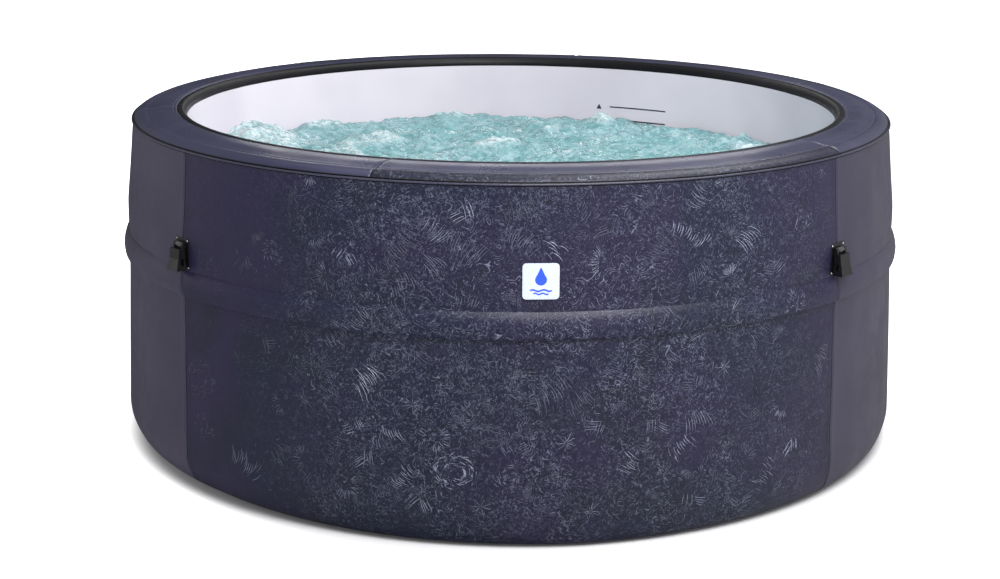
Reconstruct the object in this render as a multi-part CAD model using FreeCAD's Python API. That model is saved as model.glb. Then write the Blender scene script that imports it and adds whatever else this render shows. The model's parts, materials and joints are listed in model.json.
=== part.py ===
# Round inflatable hot tub: a ring-shaped air wall in a leather-look cover, a white liner,
# a padded rim in six gores, a waist belt, four cover clips, an air-bubble ring, wall
# fittings, and the pump and heater unit that stands behind it.
# Frame: origin at the centre of the underside on the ground, +Z up, front towards -Y.
# Azimuth is measured from the front (-Y) towards +X. All sizes are millimetres.
import FreeCAD, Part
import math
import os
from FreeCAD import Vector as V

# ---------------------------------------------------------------- driving dimensions
R_OUT = 825.0          # outside radius of the wall (1.65 m across)
H = 700.0              # height of the tub
WALL = 130.0           # wall thickness, outside to liner
R_IN = R_OUT - WALL    # radius of the liner face
SKIN = 2.0             # laminated PVC cover and liner
CELL_SKIN = 1.5        # PVC of the air cells and their webs
N_CELLS = 16           # air cells round the wall
SH_W, SH_H = 30.0, 14.0        # rim shoulder: radial width and drop to its outer seam
SH_R = (SH_W ** 2 + SH_H ** 2) / (2 * SH_H)   # radius of the shoulder's arc
RIM_SEAM_Z = H - SH_H
RIM_SKIN = 3.0         # padded rim skin
ROLL_W = 20.0          # radial width of the rim's inner roll
ROLL_C = 14.0          # radius of the inner roll's rounded edge
ROLL_DROP = 15.0       # how far the inner roll comes down the liner
RIM_SEAMS = [-17.8, 51.0, 114.0, 168.0, 221.0, 279.0]     # azimuths
WALL_SEAMS = [-49.7, 49.7, 130.3, 229.7]
BOT_R, BOT_Z = 28.0, 0.8       # rounding where the wall turns under, and its lowest point
BELT_Z0, BELT_Z1, BELT_PROUD = 404.0, 455.0, 11.0
FLOOR_Z = 15.0         # underside of the liner floor
PORT_Z = 150.0         # height of the three ports
PORT_X = 72.0          # water ports stand this far each side of the air port
SP_R, SP_BORE = 25.0, 20.0     # water spigot outside and bore
AIR_R, AIR_BORE = 18.0, 14.0   # air spigot outside and bore
STUB_R, STUB_AIR_R = 22.0, 15.0
DRAIN_AZ, DRAIN_Z = 157.5, 46.0
DRAIN_R, DRAIN_BORE = 13.2, 10.0
VALVE_AZ, VALVE_Z = -157.5, 600.0
CLIP_AZ = {"clip_front_left": -49.9, "clip_front_right": 49.9,
           "clip_rear_right": 130.1, "clip_rear_left": -130.1}
CLIP_Z = 506.0         # height of each clip's bar
CLIP_MOUTH_Z = 457.5   # lower end of each clip
CLIP_OFF = 6.3         # bar centre, out from the wall
CLIP_BAR_R = 2.2
CLIP_W = 34.0
BADGE_AZ, BADGE_Z, BADGE = 3.9, 512.0, 66.0
UNIT_W, UNIT_Y0, UNIT_Y1 = 380.0, R_OUT + 70.0, R_OUT + 410.0
UNIT_TOP, UNIT_WALL, UNIT_R = 452.0, 3.5, 45.0
PUMP_X = -PORT_X
BLOW_X, BLOW_Z = 60.0, 250.0

OUT = "parts"
os.makedirs(OUT, exist_ok=True)
made = {}


# ---------------------------------------------------------------- helpers
def wire(items):
    """Closed profile from a start point, then points or (mid, end) pairs for arcs."""
    p = items[0]
    edges = []
    for it in items[1:]:
        if isinstance(it, tuple):
            edges.append(Part.Arc(p, it[0], it[1]).toShape())
            p = it[1]
        else:
            edges.append(Part.LineSegment(p, it).toShape())
            p = it
    if p.distanceToPoint(items[0]) > 1e-6:
        edges.append(Part.LineSegment(p, items[0]).toShape())
    return Part.Wire(edges)


def rz(r, z):
    return V(r, 0, z)


def arc_mid(c, r, deg):
    return rz(c[0] + r * math.cos(math.radians(deg)), c[1] + r * math.sin(math.radians(deg)))


def spin(items, a0=0.0, a1=360.0):
    """Turns a profile of (radius, height) points round Z from azimuth a0 to a1."""
    f = Part.Face(wire(items))
    f.rotate(V(0, 0, 0), V(0, 0, 1), a0 - 90.0)
    return f.revolve(V(0, 0, 0), V(0, 0, 1), a1 - a0)


def ring(r0, r1, z0, z1, a0=0.0, a1=360.0):
    return spin([rz(r0, z0), rz(r1, z0), rz(r1, z1), rz(r0, z1)], a0, a1)


def cyl(r, p, d, length):
    return Part.makeCylinder(r, length, V(*p), V(*d))


def ycyl(r, x, z, y0, y1):
    return Part.makeCylinder(r, y1 - y0, V(x, y0, z), V(0, 1, 0))


def zcyl(r, x, y, z0, z1):
    return Part.makeCylinder(r, z1 - z0, V(x, y, z0), V(0, 0, 1))


def box(x0, x1, y0, y1, z0, z1):
    return Part.makeBox(x1 - x0, y1 - y0, z1 - z0, V(x0, y0, z0))


def turned(shape, az):
    s = shape.copy()
    s.rotate(V(0, 0, 0), V(0, 0, 1), az)
    return s


def out_dir(az):
    a = math.radians(az)
    return (math.sin(a), -math.cos(a), 0.0)


def at(az, r, z):
    d = out_dir(az)
    return (d[0] * r, d[1] * r, z)


def rcyl(r, az, z, r0, r1):
    """Cylinder along a radius of the tub, from radius r0 out to r1."""
    return cyl(r, at(az, r0, z), out_dir(az), r1 - r0)


def solids(shape):
    return shape.Solids


def tidy(shape):
    try:
        s = shape.removeSplitter()
        return s if s.isValid() else shape
    except Exception:
        return shape


def put(name, shape):
    """Keeps one node; a list is a group of separate solids."""
    if isinstance(shape, list):
        parts = []
        for s in shape:
            parts += s.Solids
        shape = parts[0] if len(parts) == 1 else Part.makeCompound(parts)
    else:
        parts = shape.Solids
        shape = parts[0] if len(parts) == 1 else Part.makeCompound(parts)
    for i, s in enumerate(parts):
        if not s.isValid() or s.Volume <= 0:
            print("PROBLEM", name, i, s.isValid(), s.Volume)
    made[name] = (len(parts), sum(s.Volume for s in parts))
    shape.exportStep(os.path.join(OUT, name + ".step"))
    return shape


def rounded_plate(w, d, h, r, x, y, z):
    b = Part.makeBox(w, d, h, V(x - w / 2, y - d / 2, z))
    es = [e for e in b.Edges if abs(e.BoundBox.ZLength - h) < 1e-6 and e.BoundBox.XLength < 1e-6 and e.BoundBox.YLength < 1e-6]
    return b.makeFillet(r, es)


# wall openings: (axis cylinder builder by radius, azimuth range) for ports and drain
PORTS = [(-PORT_X, SP_R + 1.0), (0.0, AIR_R + 1.0), (PORT_X, SP_R + 1.0)]


def port_cut(extra=0.0, y0=R_IN - 25.0, y1=R_OUT + 35.0):
    return [ycyl(r + extra, x, PORT_Z, y0, y1) for x, r in PORTS]


def drain_cut(extra=0.0):
    return rcyl(17.0 + extra, DRAIN_AZ, DRAIN_Z, R_IN - 25.0, R_OUT + 35.0)


def valve_cut(extra=0.0):
    return rcyl(20.0 + extra, VALVE_AZ, VALVE_Z, R_OUT - 40.0, R_OUT + 20.0)


# ---------------------------------------------------------------- cover, rim, liner
GAP = 0.03             # degrees left open at each seam
K = math.sqrt(0.5)
SC = (R_OUT - SH_W, H - SH_R)          # centre of the rim shoulder's arc
BC = (R_OUT - BOT_R, BOT_Z + BOT_R)    # centre of the bottom rounding
SPANS = [(WALL_SEAMS[i], WALL_SEAMS[(i + 1) % 4] + (360.0 if i == 3 else 0.0)) for i in range(4)]
names = ["front", "right", "rear", "left"]
for i, n in enumerate(names):
    t = RIM_SEAM_Z - 0.2
    rb = BOT_R - SKIN
    prof = [rz(R_OUT, t), rz(R_OUT - SKIN, t), rz(R_OUT - SKIN, BC[1]),
            (arc_mid(BC, rb, -45.0), rz(BC[0], BOT_Z + SKIN)), rz(BC[0], BOT_Z),
            (arc_mid(BC, BOT_R, -45.0), rz(R_OUT, BC[1]))]
    p = spin(prof, SPANS[i][0] + GAP, SPANS[i][1] - GAP)
    if n == "rear":
        for c in port_cut() + [rcyl(17.0, DRAIN_AZ, DRAIN_Z, R_OUT - 45.0, R_OUT + 35.0)]:
            p = p.cut(c)
        p = p.cut(rcyl(20.0, VALVE_AZ, VALVE_Z, R_OUT - 45.0, R_OUT + 35.0))
    put("outer_panel_" + n, p)

# waist belt: a padded band, flat on the wall, with a tucked lower edge
def belt_profile():
    m = (BELT_Z0 + BELT_Z1) / 2
    r = R_OUT + 0.05
    return [rz(r, BELT_Z0), (rz(r + BELT_PROUD * 0.82, BELT_Z0 + 6.5), rz(r + BELT_PROUD, BELT_Z0 + 20.0)),
            (rz(r + BELT_PROUD * 0.62, BELT_Z1 - 11.0), rz(r, BELT_Z1))]


put("waist_belt", [spin(belt_profile(), a + 0.06, b - 0.06) for a, b in SPANS])

# rim gores: a flat padded top and a sloping outer shoulder
def shoulder(t):
    """Outer end of the shoulder's arc at skin depth t, as a radius at the seam's height."""
    return SC[0] + math.sqrt((SH_R - t) ** 2 - (RIM_SEAM_Z - SC[1]) ** 2)


def arc_half(t, z):
    """Middle point of the shoulder's arc of radius SH_R - t, from the top down to height z."""
    return arc_mid(SC, SH_R - t, (90.0 + math.degrees(math.asin((z - SC[1]) / (SH_R - t)))) / 2)


gores = []
for i in range(len(RIM_SEAMS)):
    a0 = RIM_SEAMS[i]
    a1 = RIM_SEAMS[i + 1] if i + 1 < len(RIM_SEAMS) else RIM_SEAMS[0] + 360.0
    prof = [rz(R_OUT, RIM_SEAM_Z), (arc_half(0.0, RIM_SEAM_Z), rz(SC[0], H)),
            rz(R_IN + ROLL_W + 0.5, H), rz(R_IN + ROLL_W + 0.5, H - RIM_SKIN), rz(SC[0], H - RIM_SKIN),
            (arc_half(RIM_SKIN, RIM_SEAM_Z), rz(shoulder(RIM_SKIN), RIM_SEAM_Z))]
    gores.append(spin(prof, a0 + GAP, a1 - GAP))
put("rim_panels", gores)

# rim inner roll: turns from the rim's top down over the liner's top edge
IC = (R_IN + ROLL_C, H - ROLL_C)
r2 = ROLL_C - RIM_SKIN
put("rim_inner_roll", spin([
    rz(R_IN + ROLL_W, H), rz(IC[0], H), (rz(IC[0] - ROLL_C * K, IC[1] + ROLL_C * K), rz(R_IN, IC[1])),
    rz(R_IN, H - ROLL_DROP), rz(R_IN + RIM_SKIN, H - ROLL_DROP), rz(R_IN + RIM_SKIN, IC[1]),
    (rz(IC[0] - r2 * K, IC[1] + r2 * K), rz(IC[0], H - RIM_SKIN)), rz(R_IN + ROLL_W, H - RIM_SKIN)]))

# piping cord along the rim's outer seam
pr = 2.0
t = Part.makeTorus(R_OUT + pr + 0.05, pr, V(0, 0, RIM_SEAM_Z - 0.5), V(0, 0, 1))
put("rim_piping", t)

lw = ring(R_IN, R_IN + SKIN, FLOOR_Z + 2.2, H - ROLL_DROP - 0.2)
for c in port_cut() + [drain_cut()]:
    lw = lw.cut(c)
put("liner_wall", lw)
put("liner_floor", Part.makeCylinder(R_IN + SKIN, 2.0, V(0, 0, FLOOR_Z)))
put("floor_pad", Part.makeCylinder(R_IN - 1.0, FLOOR_Z - 0.1 - 3.1, V(0, 0, 3.1)))
put("ground_sheet", Part.makeCylinder(R_OUT - BOT_R - 0.1, 3.0, V(0, 0, 0)))

# ---------------------------------------------------------------- air cells
def cell_profile(t):
    """Section of an air cell, set in by t from its outside: it fills the wall behind the skins."""
    a, b, z0, z1 = R_IN + RIM_SKIN + 0.5 + t, R_OUT - SKIN - 0.6 - t, 3.4 + t, H - RIM_SKIN - 0.5 - t
    so = SH_R - RIM_SKIN - 0.5 - t
    zs = SC[1] + math.sqrt(so * so - (b - SC[0]) ** 2)
    mid = (90.0 + math.degrees(math.asin((zs - SC[1]) / so))) / 2
    ri = ROLL_W - RIM_SKIN - 0.5 - t
    rb = b - BC[0]
    return [rz(a, z0), rz(BC[0], z0), (arc_mid(BC, rb, -45.0), rz(b, BC[1])), rz(b, zs),
            (arc_mid(SC, so, mid), rz(SC[0], z1)), rz(a + ri, z1),
            (rz(a + ri - ri * K, z1 - ri + ri * K), rz(a, z1 - ri))]


cells = []
step = 360.0 / N_CELLS
for i in range(N_CELLS):
    mid = i * step
    a0, a1 = mid - step / 2 + 0.012, mid + step / 2 - 0.012
    outer = spin(cell_profile(0.0), a0, a1)
    void = spin(cell_profile(CELL_SKIN), a0 + 0.105, a1 - 0.105)
    cuts = []
    if abs(mid - 180.0) < 1.0:
        cuts = [(c, e) for c, e in zip(port_cut(), port_cut(2.0))]
    if a0 < DRAIN_AZ < a1:
        cuts = [(drain_cut(), drain_cut(2.0))]
    for c, e in cuts:
        void = void.cut(e)
    cell = outer.cut(void)
    for c, e in cuts:
        cell = cell.cut(c)
    if a0 < VALVE_AZ % 360.0 < a1:
        cell = cell.cut(rcyl(19.2, VALVE_AZ, VALVE_Z, R_OUT - 25.0, R_OUT + 35.0))
    cells.append(cell)
put("air_cells", cells)

# ---------------------------------------------------------------- bubble ring and riser
br0, br1, bz0, bz1 = R_IN - 40.0, R_IN - 0.4, FLOOR_Z + 2.3, 52.0


def duct(t):
    a, b, z0, z1 = br0 + t, br1 - t, bz0 + t, bz1 - t
    q = 24.0
    return [rz(a, z0), rz(b, z0), rz(b, z1), rz(a + q, z1),
            (rz(a + q - q * K, z1 - q + q * K), rz(a, z1 - q))]


g0, g1 = DRAIN_AZ + 6.0, DRAIN_AZ + 354.0
duct_out = spin(duct(0.0), g0, g1)
duct_in = spin(duct(2.0), g0 + 0.15, g1 - 0.15)
duct_s = duct_out.cut(duct_in)
holes = []
n_holes = 60
for i in range(n_holes):
    az = g0 + 3.0 + i * (g1 - g0 - 6.0) / (n_holes - 1)
    if abs((az % 360.0) - 180.0) < 3.0:
        continue
    holes.append(Part.makeCylinder(1.6, 8.0, V(*at(az, R_IN - 12.0, bz1 - 5.0)), V(0, 0, 1)))
duct_s = duct_s.cut(Part.makeCompound(holes))
duct_s = duct_s.cut(box(-13.0, 13.0, R_IN - 16.0, R_IN - 4.0, bz1 - 4.0, bz1 + 4.0))
put("bubble_ring", duct_s)

liner_in = Part.makeCylinder(R_IN - 0.2, 700.0, V(0, 0, 0))
ris = box(-18.0, 18.0, R_IN - 24.0, R_IN + 4.0, bz1 + 0.1, PORT_Z + 34.0)
ris = ris.makeFillet(6.0, [e for e in ris.Edges if abs(e.BoundBox.ZLength - (PORT_Z + 34.0 - bz1 - 0.1)) < 1e-6 and e.BoundBox.YMax < R_IN - 20.0])
ris = ris.cut(box(-15.0, 15.0, R_IN - 21.0, R_IN + 6.0, bz1 - 1.0, PORT_Z + 31.0)).common(liner_in)
put("air_riser", ris)

# ---------------------------------------------------------------- badge
bd = Part.makeBox(BADGE, 30.0, BADGE, V(-BADGE / 2, -R_OUT - 15.0, BADGE_Z - BADGE / 2))
bd = bd.makeFillet(7.0, [e for e in bd.Edges if abs(e.BoundBox.YLength - 30.0) < 1e-6])
bd = bd.common(ring(R_OUT + 0.05, R_OUT + 1.6, 440.0, 600.0, -10.0, 10.0))
put("badge_plate", turned(bd, BADGE_AZ))

# ---------------------------------------------------------------- cover clips
BAR_Y = -(R_OUT + CLIP_OFF)


def clip_patch():
    p = Part.makeBox(46.0, 30.0, 62.0, V(-23.0, -R_OUT - 15.0, CLIP_Z - 49.5))
    p = p.makeFillet(6.0, [e for e in p.Edges if abs(e.BoundBox.YLength - 30.0) < 1e-6])
    return p.common(ring(R_OUT + 0.05, R_OUT + 1.25, 430.0, 560.0, -10.0, 10.0))


def clip_strap():
    # webbing loop round the clip's bar, with a tail sewn flat on the patch
    loop = Part.makeCylinder(4.5, 20.0, V(-10.0, BAR_Y, CLIP_Z), V(1, 0, 0))
    tail = box(-10.0, 10.0, -R_OUT - 3.1, -R_OUT - 1.45, CLIP_Z - 26.0, CLIP_Z)
    hole = Part.makeCylinder(2.9, 24.0, V(-12.0, BAR_Y, CLIP_Z), V(1, 0, 0))
    return loop.fuse(tail).cut(hole).removeSplitter()


def clip_body():
    y = BAR_Y
    w = CLIP_W
    zb, zt = CLIP_MOUTH_Z, CLIP_Z - 7.0
    prof = [V(0, y + 2.3, zt), V(0, y + 2.3, zb), V(0, y - 19.5, zb),
            V(0, y - 13.6, zb + 22.0), V(0, y - 11.0, zt)]
    f = Part.Face(Part.makePolygon(prof + [prof[0]]))
    b = f.extrude(V(w, 0, 0))
    b.translate(V(-w / 2, 0, 0))
    # flared mouth: the sides widen towards the bottom
    flare = []
    for s in (-1, 1):
        q = [V(s * w / 2, 0, zb + 16.0), V(s * (w / 2 + 3.0), 0, zb), V(s * w / 2, 0, zb)]
        g = Part.Face(Part.makePolygon(q + [q[0]])).extrude(V(0, 21.8, 0))
        g.translate(V(0, y - 19.5, 0))
        flare.append(g)
    b = b.fuse(flare)
    # keep the flare inside the front slope
    front = [V(0, y + 3.0, zb - 1), V(0, y - 19.5, zb - 1), V(0, y - 19.5, zb), V(0, y - 13.6, zb + 22.0), V(0, y - 11.0, zt + 1), V(0, y + 3.0, zt + 1)]
    fm = Part.Face(Part.makePolygon(front + [front[0]])).extrude(V(w + 20, 0, 0))
    fm.translate(V(-w / 2 - 10, 0, 0))
    b = b.common(fm)
    b = tidy(b)
    es = [e for e in b.Edges if e.BoundBox.YMax < y - 10.0 and e.BoundBox.XLength > w - 1 and e.BoundBox.ZMin > zb + 2]
    # arms up to the bar
    arms = []
    for s in (-1, 1):
        arms.append(box(min(s * 12.0, s * 17.0), max(s * 12.0, s * 17.0), y - 4.2, y + 2.3, zt - 1.0, CLIP_Z))
        arms.append(Part.makeCylinder(4.2, 5.0, V(min(s * 12.0, s * 17.0), y, CLIP_Z), V(1, 0, 0)))
    bar = Part.makeCylinder(CLIP_BAR_R, 30.0, V(-15.0, y, CLIP_Z), V(1, 0, 0))
    b = b.fuse(arms + [bar])
    # socket for the cover strap's plug, open at the mouth, and its two side windows
    b = b.cut(box(-13.0, 13.0, y - 9.2, y - 1.2, zb - 1.0, zb + 29.0))
    b = b.cut(box(-30.0, 30.0, y - 8.2, y - 2.2, zb + 9.0, zb + 23.0))
    return tidy(b)


patches, straps = [], []
cb_ = clip_body()
for n, az in CLIP_AZ.items():
    patches.append(turned(clip_patch(), az))
    straps.append(turned(clip_strap(), az))
    put(n, turned(cb_, az))
put("clip_patches", patches)
put("clip_straps", straps)

# ---------------------------------------------------------------- inflation valve
vz = VALVE_Z
wall_out = Part.makeCylinder(R_OUT + 0.05, 700.0, V(0, 0, 0))


def local_valve():
    y = -R_OUT
    fl = Part.makeCylinder(30.0, 12.0, V(0, y - 4.0, vz), V(0, 1, 0)).cut(wall_out)
    neck = Part.makeCylinder(19.0, 30.0, V(0, y - 3.9, vz), V(0, 1, 0))
    b = fl.fuse(neck)
    ears = box(-9.0, 9.0, y - 9.0, y - 2.0, vz + 25.0, vz + 29.6)
    b = b.fuse(ears)
    b = b.cut(Part.makeCylinder(15.0, 12.0, V(0, y - 4.0, vz), V(0, 1, 0)))
    b = b.cut(Part.makeCylinder(13.0, 12.0, V(0, y + 7.9, vz), V(0, 1, 0)))
    b = b.cut(Part.makeCylinder(9.0, 30.0, V(0, y + 10.0, vz), V(0, 1, 0)))
    # spider that guides the plunger's stem
    sp = Part.makeCylinder(6.0, 4.0, V(0, y + 12.5, vz), V(0, 1, 0)).cut(Part.makeCylinder(3.1, 6.0, V(0, y + 12.0, vz), V(0, 1, 0)))
    arms = []
    for q in range(3):
        a = Part.makeBox(11.0, 4.0, 2.0, V(4.5, y + 12.5, -1.0))
        a.rotate(V(0, y, 0), V(0, 1, 0), 120.0 * q)
        a.translate(V(0, 0, vz))
        arms.append(a)
    sp = sp.fuse(arms)
    keep = Part.makeCylinder(14.0, 10.0, V(0, y + 11.0, vz), V(0, 1, 0))
    sp = sp.common(keep)
    b = b.fuse(sp)
    hinge_hole = Part.makeCylinder(1.3, 24.0, V(-12.0, y - 6.6, vz + 27.3), V(1, 0, 0))
    return tidy(b.cut(hinge_hole))


def local_plunger():
    y = -R_OUT
    disc = Part.makeCylinder(13.0, 2.5, V(0, y + 26.2, vz), V(0, 1, 0))
    stem = Part.makeCylinder(3.0, 20.4, V(0, y + 6.0, vz), V(0, 1, 0))
    head = Part.makeCylinder(4.6, 1.6, V(0, y + 6.0, vz), V(0, 1, 0))
    return disc.fuse([stem, head]).removeSplitter()


def local_vcap():
    y = -R_OUT
    lid = Part.makeCylinder(23.0, 3.2, V(0, y - 7.5, vz), V(0, 1, 0))
    plug = Part.makeCylinder(14.3, 3.4, V(0, y - 4.4, vz), V(0, 1, 0)).cut(Part.makeCylinder(12.3, 4.0, V(0, y - 4.2, vz), V(0, 1, 0)))
    tab = box(-6.0, 6.0, y - 10.5, y - 7.4, vz - 20.0, vz - 13.0)
    arm1 = box(-14.0, -9.6, y - 7.5, y - 5.2, vz + 14.0, vz + 27.0)
    arm2 = box(9.6, 14.0, y - 7.5, y - 5.2, vz + 14.0, vz + 27.0)
    lug = [Part.makeCylinder(2.6, 4.4, V(-14.0, y - 6.6, vz + 27.3), V(1, 0, 0)),
           Part.makeCylinder(2.6, 4.4, V(9.6, y - 6.6, vz + 27.3), V(1, 0, 0))]
    pin = Part.makeCylinder(1.2, 26.0, V(-13.0, y - 6.6, vz + 27.3), V(1, 0, 0))
    return tidy(lid.fuse([plug, tab, arm1, arm2, pin] + lug))


put("valve_body", turned(local_valve(), VALVE_AZ))
put("valve_plunger", turned(local_plunger(), VALVE_AZ))
put("valve_cap", turned(local_vcap(), VALVE_AZ))

# ---------------------------------------------------------------- drain
def local_drain():
    y = -R_OUT
    fl = Part.makeCylinder(21.0, 16.0, V(0, y - 5.0, DRAIN_Z), V(0, 1, 0)).cut(wall_out)
    tube = Part.makeCylinder(16.0, WALL + 10.0, V(0, y - 4.9, DRAIN_Z), V(0, 1, 0))
    spout = Part.makeCylinder(DRAIN_R, 30.0, V(0, y - 29.0, DRAIN_Z), V(0, 1, 0))
    inner = Part.makeCylinder(21.0, 20.0, V(0, -(R_IN - 5.0) , DRAIN_Z), V(0, -1, 0)).common(liner_in)
    b = fl.fuse([tube, spout, inner])
    b = b.cut(Part.makeCylinder(DRAIN_BORE, WALL + 60.0, V(0, y - 30.0, DRAIN_Z), V(0, 1, 0)))
    # trim the tube flush inside
    b = b.cut(Part.makeCylinder(40.0, 60.0, V(0, -(R_IN - 5.0), DRAIN_Z), V(0, 1, 0)))
    return tidy(b)


def local_drain_plug():
    y = -(R_IN - 5.0)
    body = Part.makeCylinder(9.8, 22.0, V(0, y - 22.0, DRAIN_Z), V(0, 1, 0))
    disc = Part.makeCylinder(16.0, 4.0, V(0, y, DRAIN_Z), V(0, 1, 0))
    grip = box(-2.0, 2.0, y + 3.9, y + 14.0, DRAIN_Z - 12.0, DRAIN_Z + 12.0)
    grip = grip.makeFillet(1.8, [e for e in grip.Edges if e.BoundBox.YMin > y + 13.0])
    return tidy(disc.fuse([body, grip]))


put("drain_fitting", turned(local_drain(), DRAIN_AZ))
put("drain_plug", turned(local_drain_plug(), DRAIN_AZ))

# ---------------------------------------------------------------- wall fittings (rear, along Y)
def wall_fitting(x, r_out, r_bore, r_flange, inside_flange):
    f = ycyl(r_flange, x, PORT_Z, R_OUT - 35.0, R_OUT + 9.0).cut(wall_out)
    tube = ycyl(r_out, x, PORT_Z, R_IN - 12.0, R_OUT + 32.0)
    b = f.fuse(tube)
    if inside_flange:
        b = b.fuse(ycyl(inside_flange, x, PORT_Z, R_IN - 12.0, R_IN + 10.0).common(liner_in))
        b = b.cut(ycyl(inside_flange + 1, x, PORT_Z, R_IN - 40.0, R_IN - 12.0))
    return tidy(b.cut(ycyl(r_bore, x, PORT_Z, R_IN - 60.0, R_OUT + 75.0)))


put("suction_fitting", wall_fitting(-PORT_X, SP_R, SP_BORE, 34.0, 34.0))
put("return_fitting", wall_fitting(PORT_X, SP_R, SP_BORE, 34.0, 34.0))
af = ycyl(27.0, 0.0, PORT_Z, R_OUT - 35.0, R_OUT + 9.0).cut(wall_out).fuse(ycyl(AIR_R, 0.0, PORT_Z, R_IN + 0.2, R_OUT + 32.0))
put("air_fitting", tidy(af.cut(ycyl(AIR_BORE, 0.0, PORT_Z, R_IN - 60.0, R_OUT + 75.0))))
put("port_gaskets", [ycyl(r, x, PORT_Z, R_OUT + 32.0, R_OUT + 35.0).cut(ycyl(b, x, PORT_Z, R_OUT + 25.0, R_OUT + 45.0))
                     for x, r, b in ((-PORT_X, SP_R, SP_BORE), (0.0, AIR_R, AIR_BORE), (PORT_X, SP_R, SP_BORE))])


def nut(x, r, stub):
    """Coupling nut, captive on the unit's stub, over the wall spigot."""
    body = ycyl(r, x, PORT_Z, R_OUT + 13.0, R_OUT + 45.5)
    lobes = []
    for q in range(10):
        a = math.radians(36.0 * q)
        lobes.append(ycyl(3.2, x + (r + 0.4) * math.cos(a), PORT_Z + (r + 0.4) * math.sin(a), R_OUT + 15.0, R_OUT + 41.0))
    body = body.fuse(lobes)
    inner = {SP_R: SP_R, AIR_R: AIR_R}[SP_R if stub == STUB_R else AIR_R]
    body = body.cut(ycyl(inner + 0.3, x, PORT_Z, R_OUT + 5.0, R_OUT + 39.4))
    return tidy(body.cut(ycyl(stub + 0.3, x, PORT_Z, R_OUT + 5.0, R_OUT + 55.0)))


put("nut_suction", nut(-PORT_X, 32.0, STUB_R))
put("nut_return", nut(PORT_X, 32.0, STUB_R))
put("nut_air", nut(0.0, 24.5, STUB_AIR_R))

# ---------------------------------------------------------------- filter and return nozzle (inside)
FY = R_IN - 12.1
fh = ycyl(50.0, -PORT_X, PORT_Z, FY - 92.0, FY)
fh = fh.cut(ycyl(46.5, -PORT_X, PORT_Z, FY - 93.0, FY - 6.0))
fh = fh.cut(ycyl(SP_BORE, -PORT_X, PORT_Z, FY - 10.0, FY + 1.0))
slots = []
for q in range(12):
    a = 30.0 * q
    s = box(-2.5, 2.5, FY - 84.0, FY - 14.0, 30.0, 60.0)
    s.rotate(V(0, 0, 0), V(0, 1, 0), a)
    s.translate(V(-PORT_X, 0, PORT_Z))
    slots.append(s)
put("filter_housing", tidy(fh.cut(Part.makeCompound(slots))))
pts = []
n = 36
for i in range(2 * n):
    a = math.pi * i / n
    r = 44.5 if i % 2 else 36.0
    pts.append(V(-PORT_X + r * math.cos(a), FY - 84.0, PORT_Z + r * math.sin(a)))
pleat = Part.Face(Part.makePolygon(pts + [pts[0]])).extrude(V(0, 70.0, 0))
caps = [ycyl(45.0, -PORT_X, PORT_Z, FY - 90.0, FY - 84.0), ycyl(45.0, -PORT_X, PORT_Z, FY - 14.0, FY - 8.0)]
cart = pleat.fuse(caps).cut(ycyl(18.0, -PORT_X, PORT_Z, FY - 86.0, FY))
put("filter_cartridge", tidy(cart))
fc = ycyl(54.0, -PORT_X, PORT_Z, FY - 100.0, FY - 92.2)
fc = fc.makeFillet(4.0, [e for e in fc.Edges if abs(e.BoundBox.YMin - (FY - 100.0)) < 1e-6 and e.BoundBox.YLength < 1e-6])
fc = fc.fuse(ycyl(46.0, -PORT_X, PORT_Z, FY - 93.0, FY - 90.1))
grips = []
for s in (-1, 1):
    grips.append(box(-PORT_X - 30.0, -PORT_X + 30.0, FY - 107.0, FY - 99.0, PORT_Z + s * 20.0 - 4.0, PORT_Z + s * 20.0 + 4.0))
put("filter_cover", tidy(fc.fuse(grips)))
rn = ycyl(38.0, PORT_X, PORT_Z, FY - 26.0, FY)
rn = rn.makeFillet(8.0, [e for e in rn.Edges if abs(e.BoundBox.YMin - (FY - 26.0)) < 1e-6 and e.BoundBox.YLength < 1e-6])
rn = rn.cut(ycyl(SP_BORE + 10.0, PORT_X, PORT_Z, FY - 22.0, FY + 1.0))
for q in (-20, -10, 0, 10, 20):
    rn = rn.cut(box(PORT_X - 22.0, PORT_X + 22.0, FY - 40.0, FY - 20.0, PORT_Z + q - 1.8, PORT_Z + q + 1.8))
put("return_nozzle", tidy(rn))

# ---------------------------------------------------------------- pump and heater unit
UY = (UNIT_Y0 + UNIT_Y1) / 2
UD = UNIT_Y1 - UNIT_Y0


def block(z0, z1, inset=0.0, r=UNIT_R):
    return rounded_plate(UNIT_W - 2 * inset, UD - 2 * inset, z1 - z0, max(1.0, r - inset), 0.0, UY, z0)


base = block(12.0, 58.0).cut(block(12.0 + UNIT_WALL, 60.0, UNIT_WALL))
base = base.fuse(block(58.0, 64.0, UNIT_WALL + 0.4).cut(block(50.0, 70.0, UNIT_WALL + 3.0)))
base = base.fuse(block(40.0, 58.0, UNIT_WALL - 0.1).cut(block(30.0, 70.0, UNIT_WALL + 3.0)))
cradle = box(PUMP_X - 36.0, PUMP_X + 36.0, R_OUT + 150.0, R_OUT + 225.0, 15.0, 120.0).cut(ycyl(48.3, PUMP_X, PORT_Z, R_OUT + 75.0, R_OUT + 275.0))
post = box(BLOW_X - 24.0, BLOW_X + 24.0, R_OUT + 287.0, R_OUT + 325.0, 15.0, BLOW_Z - 40.0).cut(ycyl(60.3, BLOW_X, BLOW_Z, R_OUT + 265.0, R_OUT + 375.0))
base = base.fuse([cradle, post])
put("unit_base", tidy(base))
feet = []
for sx in (-1, 1):
    for sy in (-1, 1):
        f = Part.makeCone(16.0, 19.0, 11.95, V(sx * 135.0, UY + sy * 115.0, 0.0))
        feet.append(f)
put("unit_feet", feet)

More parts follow.
